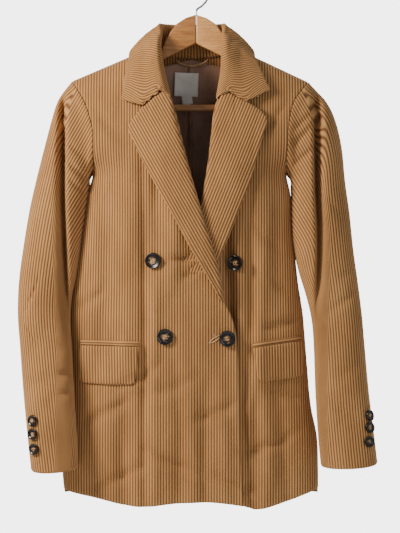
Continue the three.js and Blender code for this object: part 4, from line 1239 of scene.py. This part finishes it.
lining = plain_sheet("lining_back_cloth", lining_points, 150, 90, 0.8)
keep(lining, LINING_FINISH, "satin", "lining_back")


def label_points(s, t):
    x, z = mix(-36, 3, s) + 1.2 * (1 - t), mix(-143, -182, t) - 1.5 * s
    curl = 1.2 * (2 * s - 1) ** 4 + 0.8 * np.sin(3 * s + 2 * t)
    return np.stack([x, body_y(x, z, 1) - LABEL_LIFT - 3.2 - curl, z], -1)


def tab_points(s, t):
    x, z = mix(-24, -7, s) + 2.0 * t, mix(-181, -196, t) + 3.0 * (s - 0.5)
    return np.stack([x, body_y(x, z, 1) - LABEL_LIFT - 3.6 - 1.5 * t * s, z], -1)


label = plain_sheet("neck_label_cloth", label_points, 24, 24, 0.6)
keep(label, LABEL_FINISH, "label", "neck_label")
tab = plain_sheet("size_tab_cloth", tab_points, 12, 12, 0.6)
keep(tab, LABEL_FINISH, "label", "size_tab")


def loop_points(s, t):
    sag = np.sin(np.pi * s)
    x = mix(-31, 19, s)
    z = -121 - 9.5 * sag ** 0.6 - 4.2 * t + 1.5 * (s - 0.5)
    bulge = 1.6 * np.sin(np.pi * t)
    return np.stack([x, body_y(x, z, 1) - LABEL_LIFT - 2.2 - 2.6 * sag - bulge, z], -1)


loop = plain_sheet("hanging_loop_cloth", loop_points, 60, 9, 1.6)
keep(loop, LOOP_FINISH, "tape", "hanging_loop")


# ------------------------------------------------------------------ buttons
FRONT_RADIUS, FRONT_THICK = 13, 4.4
CUFF_RADIUS, CUFF_THICK = 9, 3.4
SHANK = 2.6             # length of wound thread between cloth and button
HOLE_PLACE = 0.17       # how far each hole is from both centre lines, as a share of the radius
HOLE_RADIUS = 0.075     # its radius, as such a share


def spread_radius(piece, place, radius):
    """Stores how far out on the button each point lies, for the marbling."""
    ring = piece.data.attributes.new("ring", "FLOAT", "POINT")
    shares = [min((vertex.co - place).length / radius, 1) for vertex in piece.data.vertices]
    ring.data.foreach_set("value", shares)


def select_faces(piece, wanted):
    """Selects faces in edit mode by a test on their centre and normal."""
    mesh = bmesh.from_edit_mesh(piece.data)
    for face in mesh.faces:
        face.select_set(wanted(face.calc_center_median(), face.normal))
    bmesh.update_edit_mesh(piece.data)


def turned_button(name, radius, thick, hole):
    """A dished button with a raised rim and four holes, lying face up at the origin. Its steps are
    shares of the radius and of the thickness."""
    bpy.ops.mesh.primitive_cylinder_add(vertices=56, radius=radius, depth=thick)
    button = bpy.context.active_object
    button.name = name
    bpy.ops.object.mode_set(mode="EDIT")
    bpy.ops.mesh.select_mode(type="FACE")
    select_faces(button, lambda centre, normal: normal.z > 0.9)
    bpy.ops.mesh.inset(thickness=radius * 0.1)
    bpy.ops.mesh.inset(thickness=radius * 0.14)
    bpy.ops.transform.translate(value=(0, 0, -thick * 0.28))
    bpy.ops.mesh.inset(thickness=radius * 0.16)
    bpy.ops.transform.translate(value=(0, 0, -thick * 0.1))
    bpy.ops.mesh.inset(thickness=radius * 0.3)
    select_faces(button, lambda centre, normal: normal.z < -0.9)
    bpy.ops.mesh.inset(thickness=radius * 0.3)
    bpy.ops.object.mode_set(mode="OBJECT")
    bevel(button, thick * 0.16, 3, 40)
    away = radius * HOLE_PLACE
    for x, y in ((away, away), (away, -away), (-away, away), (-away, -away)):
        bpy.ops.mesh.primitive_cylinder_add(vertices=14, radius=hole, depth=thick * 3,
                                            location=(x, y, 0))
        drill = bpy.context.active_object
        only(button)
        cut = button.modifiers.new("Hole", "BOOLEAN")
        cut.operation = "DIFFERENCE"
        cut.object = drill
        apply_all(button)
        bpy.data.objects.remove(drill)
    only(button)
    bpy.ops.object.shade_smooth_by_angle(angle=math.radians(35))
    return button


def set_on(piece, place, normal, spin):
    """Turns a piece that lies face up at the origin to face along a normal, at a place."""
    only(piece)
    way = Vector(normal).to_track_quat("Z", "Y")
    piece.rotation_mode = "QUATERNION"
    piece.rotation_quaternion = way @ Quaternion((0, 0, 1), spin)
    piece.location = place
    apply_placing()
    piece.rotation_mode = "XYZ"


def thread_cross(name, radius, thick):
    """Two thread bars across the holes, and the wound shank behind."""
    bars = []
    for side in (-1, 1):
        bpy.ops.mesh.primitive_cylinder_add(
            vertices=10, radius=radius * 0.07, depth=radius * 0.34,
            location=(side * radius * HOLE_PLACE, 0, thick * 0.17), rotation=(math.pi / 2, 0, 0))
        bars.append(bpy.context.active_object)
        apply_placing()
    bpy.ops.mesh.primitive_cylinder_add(vertices=20, radius=radius * 0.24, depth=0.0042,
                                        location=(0, 0, -thick / 2 - 0.0019))
    shank = bpy.context.active_object
    apply_placing()
    for bar in bars:
        bar.select_set(True)
    bpy.context.view_layer.objects.active = shank
    bpy.ops.object.join()
    shank.name = name
    bevel(shank, radius * 0.03, 2, 30)
    bpy.ops.object.shade_smooth_by_angle(angle=math.radians(50))
    return shank


def add_button(node, place, normal, radius, thick, spin):
    """place is on the cloth, in millimetres; the button stands off it on its shank."""
    normal = np.array(normal) / np.linalg.norm(normal)
    centre = (np.array(place) + normal * (SHANK + thick / 2)) * MM
    button = turned_button(f"{node}_horn", radius * MM, thick * MM, radius * HOLE_RADIUS * MM)
    set_on(button, centre, normal, spin)
    spread_radius(button, Vector(centre), radius * MM)
    keep(button, HORN_FINISH, "horn", node)
    thread = thread_cross(f"{node}_thread", radius * MM, thick * MM)
    set_on(thread, centre, normal, spin)
    keep(thread, THREAD_FINISH, "horn")


def middle_of(node):
    """Centre of a node's box, in millimetres."""
    low, high = (np.array(corner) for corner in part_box(node))
    return (low + high) / 2 / MM


def surface_normal(surface, x, z, step):
    across = surface(x + step, z) - surface(x - step, z)
    up = surface(x, z + step) - surface(x, z - step)
    normal = np.cross(across, up)
    return normal / np.linalg.norm(normal) * (-1 if normal[1] > 0 else 1)


FRONT_BUTTONS = (("button_upper_right", "right", 0.5), ("button_lower_right", "right", 0.9),
                 ("button_upper_left", "left", 0.2), ("button_lower_left", "right", 2.1))
for node, side, spin in FRONT_BUTTONS:
    x, _, z = middle_of(node)

    def cloth_at(a, b):
        return np.array([a, float(front_y(side, a, b)), b])
    add_button(node, cloth_at(x, z), surface_normal(cloth_at, x, z, FRONT_RADIUS), FRONT_RADIUS,
               FRONT_THICK, spin)

for side in ("right", "left"):
    angles, levels = np.meshgrid(np.linspace(0.05, np.pi - 0.05, 160), np.linspace(0.6, 0.99, 160))
    places = sleeve_points(side, angles, levels)
    for number in (1, 2, 3):
        node = f"cuff_button_{side}_{number}"
        nearest = np.argmin(((places - middle_of(node)) ** 2).sum(-1))
        angle, level = angles.ravel()[nearest], levels.ravel()[nearest]

        def sleeve_at(a, b):
            return sleeve_points(side, np.array([[a]]), np.array([[b]]))[0, 0]
        across = sleeve_at(angle + 0.12, level) - sleeve_at(angle - 0.12, level)
        up = sleeve_at(angle, level + 0.02) - sleeve_at(angle, level - 0.02)
        normal = np.cross(across, up)
        normal *= -1 if normal[1] > 0 else 1
        add_button(node, sleeve_at(angle, level), normal, CUFF_RADIUS, CUFF_THICK, 0.7 * number)


def wire(name, route, radius, smoothness):
    """A round wire or bar of thread along a route in millimetres."""
    data = bpy.data.curves.new(name, "CURVE")
    data.dimensions = "3D"
    data.bevel_depth = radius * MM
    data.bevel_resolution = smoothness
    data.use_fill_caps = True
    line = data.splines.new("POLY")
    line.points.add(len(route) - 1)
    for point, (x, y, z) in zip(line.points, route):
        point.co = (x * MM, y * MM, z * MM, 1)
    piece = bpy.data.objects.new(name, data)
    bpy.context.collection.objects.link(piece)
    only(piece)
    bpy.ops.object.convert(target="MESH")
    return piece


STITCH_LIFT = 1.1
STITCHES = (
    ("buttonhole_upper_edge", 0.7, [(21, -586), (25, -581), (30, -577), (35, -574.5), (40, -574)]),
    ("buttonhole_lower_edge", 0.7, [(21, -586), (27, -585), (33, -581.5), (38, -577.5)]),
    ("buttonhole_bar", 0.6, [(28, -571), (31, -574), (33, -578)]),
)
for name, radius, route in STITCHES:
    raised = [(x, float(front_y("right", x, z)) - STITCH_LIFT, z) for x, z in route]
    keep(wire(name, raised, radius, 3), THREAD_FINISH, "corduroy")

# ------------------------------------------------------------------ hanger
ARM_ROUND = 2.6
BAR_RADIUS, BAR_LENGTH, BAR_Z = 5.5, 326, -203
HOOK_RADIUS = 19.8
HOOK_CENTRE = -18
WIRE_RADIUS = 1.8
for side, finish in (("right", WOOD_DARK), ("left", WOOD_LIGHT)):
    source = bpy.data.objects[f"hanger_arm_{side}"]
    arm = bpy.data.objects.new(f"hanger_arm_{side}_wood", source.data.copy())
    bpy.context.collection.objects.link(arm)
    clean(arm, near=0.0001)
    bpy.ops.object.mode_set(mode="EDIT")
    bpy.ops.mesh.select_all(action="SELECT")
    bpy.ops.mesh.dissolve_limited(angle_limit=math.radians(2))
    bpy.ops.object.mode_set(mode="OBJECT")
    bevel(arm, ARM_ROUND * MM, 4, 50)
    bpy.ops.object.shade_smooth_by_angle(angle=math.radians(30))
    keep(arm, finish, "beech", f"hanger_arm_{side}")

bpy.ops.mesh.primitive_cylinder_add(vertices=40, radius=BAR_RADIUS * MM, depth=BAR_LENGTH * MM,
                                    location=(0, 0, BAR_Z * MM), rotation=(0, math.pi / 2, 0))
bar = bpy.context.active_object
bar.name = "hanger_bar_wood"
apply_placing()
bevel(bar, 0.8 * MM, 2, 60)
bpy.ops.object.shade_smooth_by_angle(angle=math.radians(30))
# The bar is given the darker beech as painted shade, for the shadow it hangs in between the lapels.
keep(bar, WOOD_DARK, "beech", "hanger_bar")

hook_route = [(0, 0, -52), (0, 0, -47), (0.6, 0, -43.5), (3, 0, -40.5), (9.5, 0, -36.5)]
for turn in range(-35, 201, 10):
    angle = math.radians(turn)
    across, up = math.cos(angle), math.sin(angle)
    hook_route.append((HOOK_RADIUS * across, 0, HOOK_CENTRE + HOOK_RADIUS * up))
keep(wire("hanger_hook_wire", hook_route, WIRE_RADIUS, 6), CHROME_FINISH, "chrome", "hanger_hook")

# ------------------------------------------------------------------ camera, light and floor
VIEW_HEIGHT = 0.8635       # height of the view at the garment's front
VIEW_DISTANCE = 4.0
SENSOR = 36
FLOOR_RADIUS, FLOOR_Z = 1.75, -1.3
LIGHTS = (
    # name, place, what it is aimed at, size, power, tint
    ("window light", (-1.3, -0.85, 0.3), (0, 0, -0.42), 0.6, 42, "#fff3e4"),
    ("soft fill", (1.7, -1.7, 0.2), (0, 0, -0.45), 1.6, 9, "#eef3ff"),
    ("back light", (0.6, 1.8, 0.6), (0, 0, -0.4), 1.4, 26, "#ffffff"),
)
AIM = Vector((0.0065, -0.04, -0.4625))


def set_camera():
    data = bpy.data.cameras.new("camera")
    data.sensor_width = SENSOR
    data.lens = SENSOR * VIEW_DISTANCE / VIEW_HEIGHT
    camera = bpy.data.objects.new("camera", data)
    camera.location = AIM + Vector((0, -VIEW_DISTANCE, 0))
    camera.rotation_euler = (math.pi / 2, 0, 0)
    bpy.context.collection.objects.link(camera)
    bpy.context.scene.camera = camera


def add_light(name, place, aim, size, power, tint):
    data = bpy.data.lights.new(name, "AREA")
    data.shape = "DISK"
    data.size = size
    data.energy = power
    data.color = linear(tint)[:3]
    light = bpy.data.objects.new(name, data)
    light.location = place
    light.rotation_euler = (Vector(aim) - Vector(place)).to_track_quat("-Z", "Y").to_euler()
    bpy.context.collection.objects.link(light)


def set_room():
    bpy.ops.mesh.primitive_circle_add(vertices=96, radius=FLOOR_RADIUS, fill_type="NGON",
                                      location=(0, 0, FLOOR_Z))
    floor = bpy.context.active_object
    floor.name = "floor"
    material, _, shader, _ = new_material("pale matt floor")
    shader.inputs["Base Color"].default_value = linear("#f6f5f4")
    shader.inputs["Roughness"].default_value = 0.9
    floor.data.materials.append(material)
    world = bpy.data.worlds.new("pale room")
    world.use_nodes = True
    tree = world.node_tree
    seen = tree.nodes["Background"]
    seen.inputs["Color"].default_value = linear("#f4f3f3")
    seen.inputs["Strength"].default_value = 5.2
    lit = add(tree, "ShaderNodeBackground", {"Color": linear("#e9edf2"), "Strength": 0.42})
    path = add(tree, "ShaderNodeLightPath")
    both = add(tree, "ShaderNodeMixShader", i0=path.outputs["Is Camera Ray"], i1=lit.outputs[0],
               i2=seen.outputs[0])
    tree.links.new(both.outputs[0], tree.nodes["World Output"].inputs["Surface"])
    bpy.context.scene.world = world
    for light in LIGHTS:
        add_light(*light)


set_camera()
set_room()
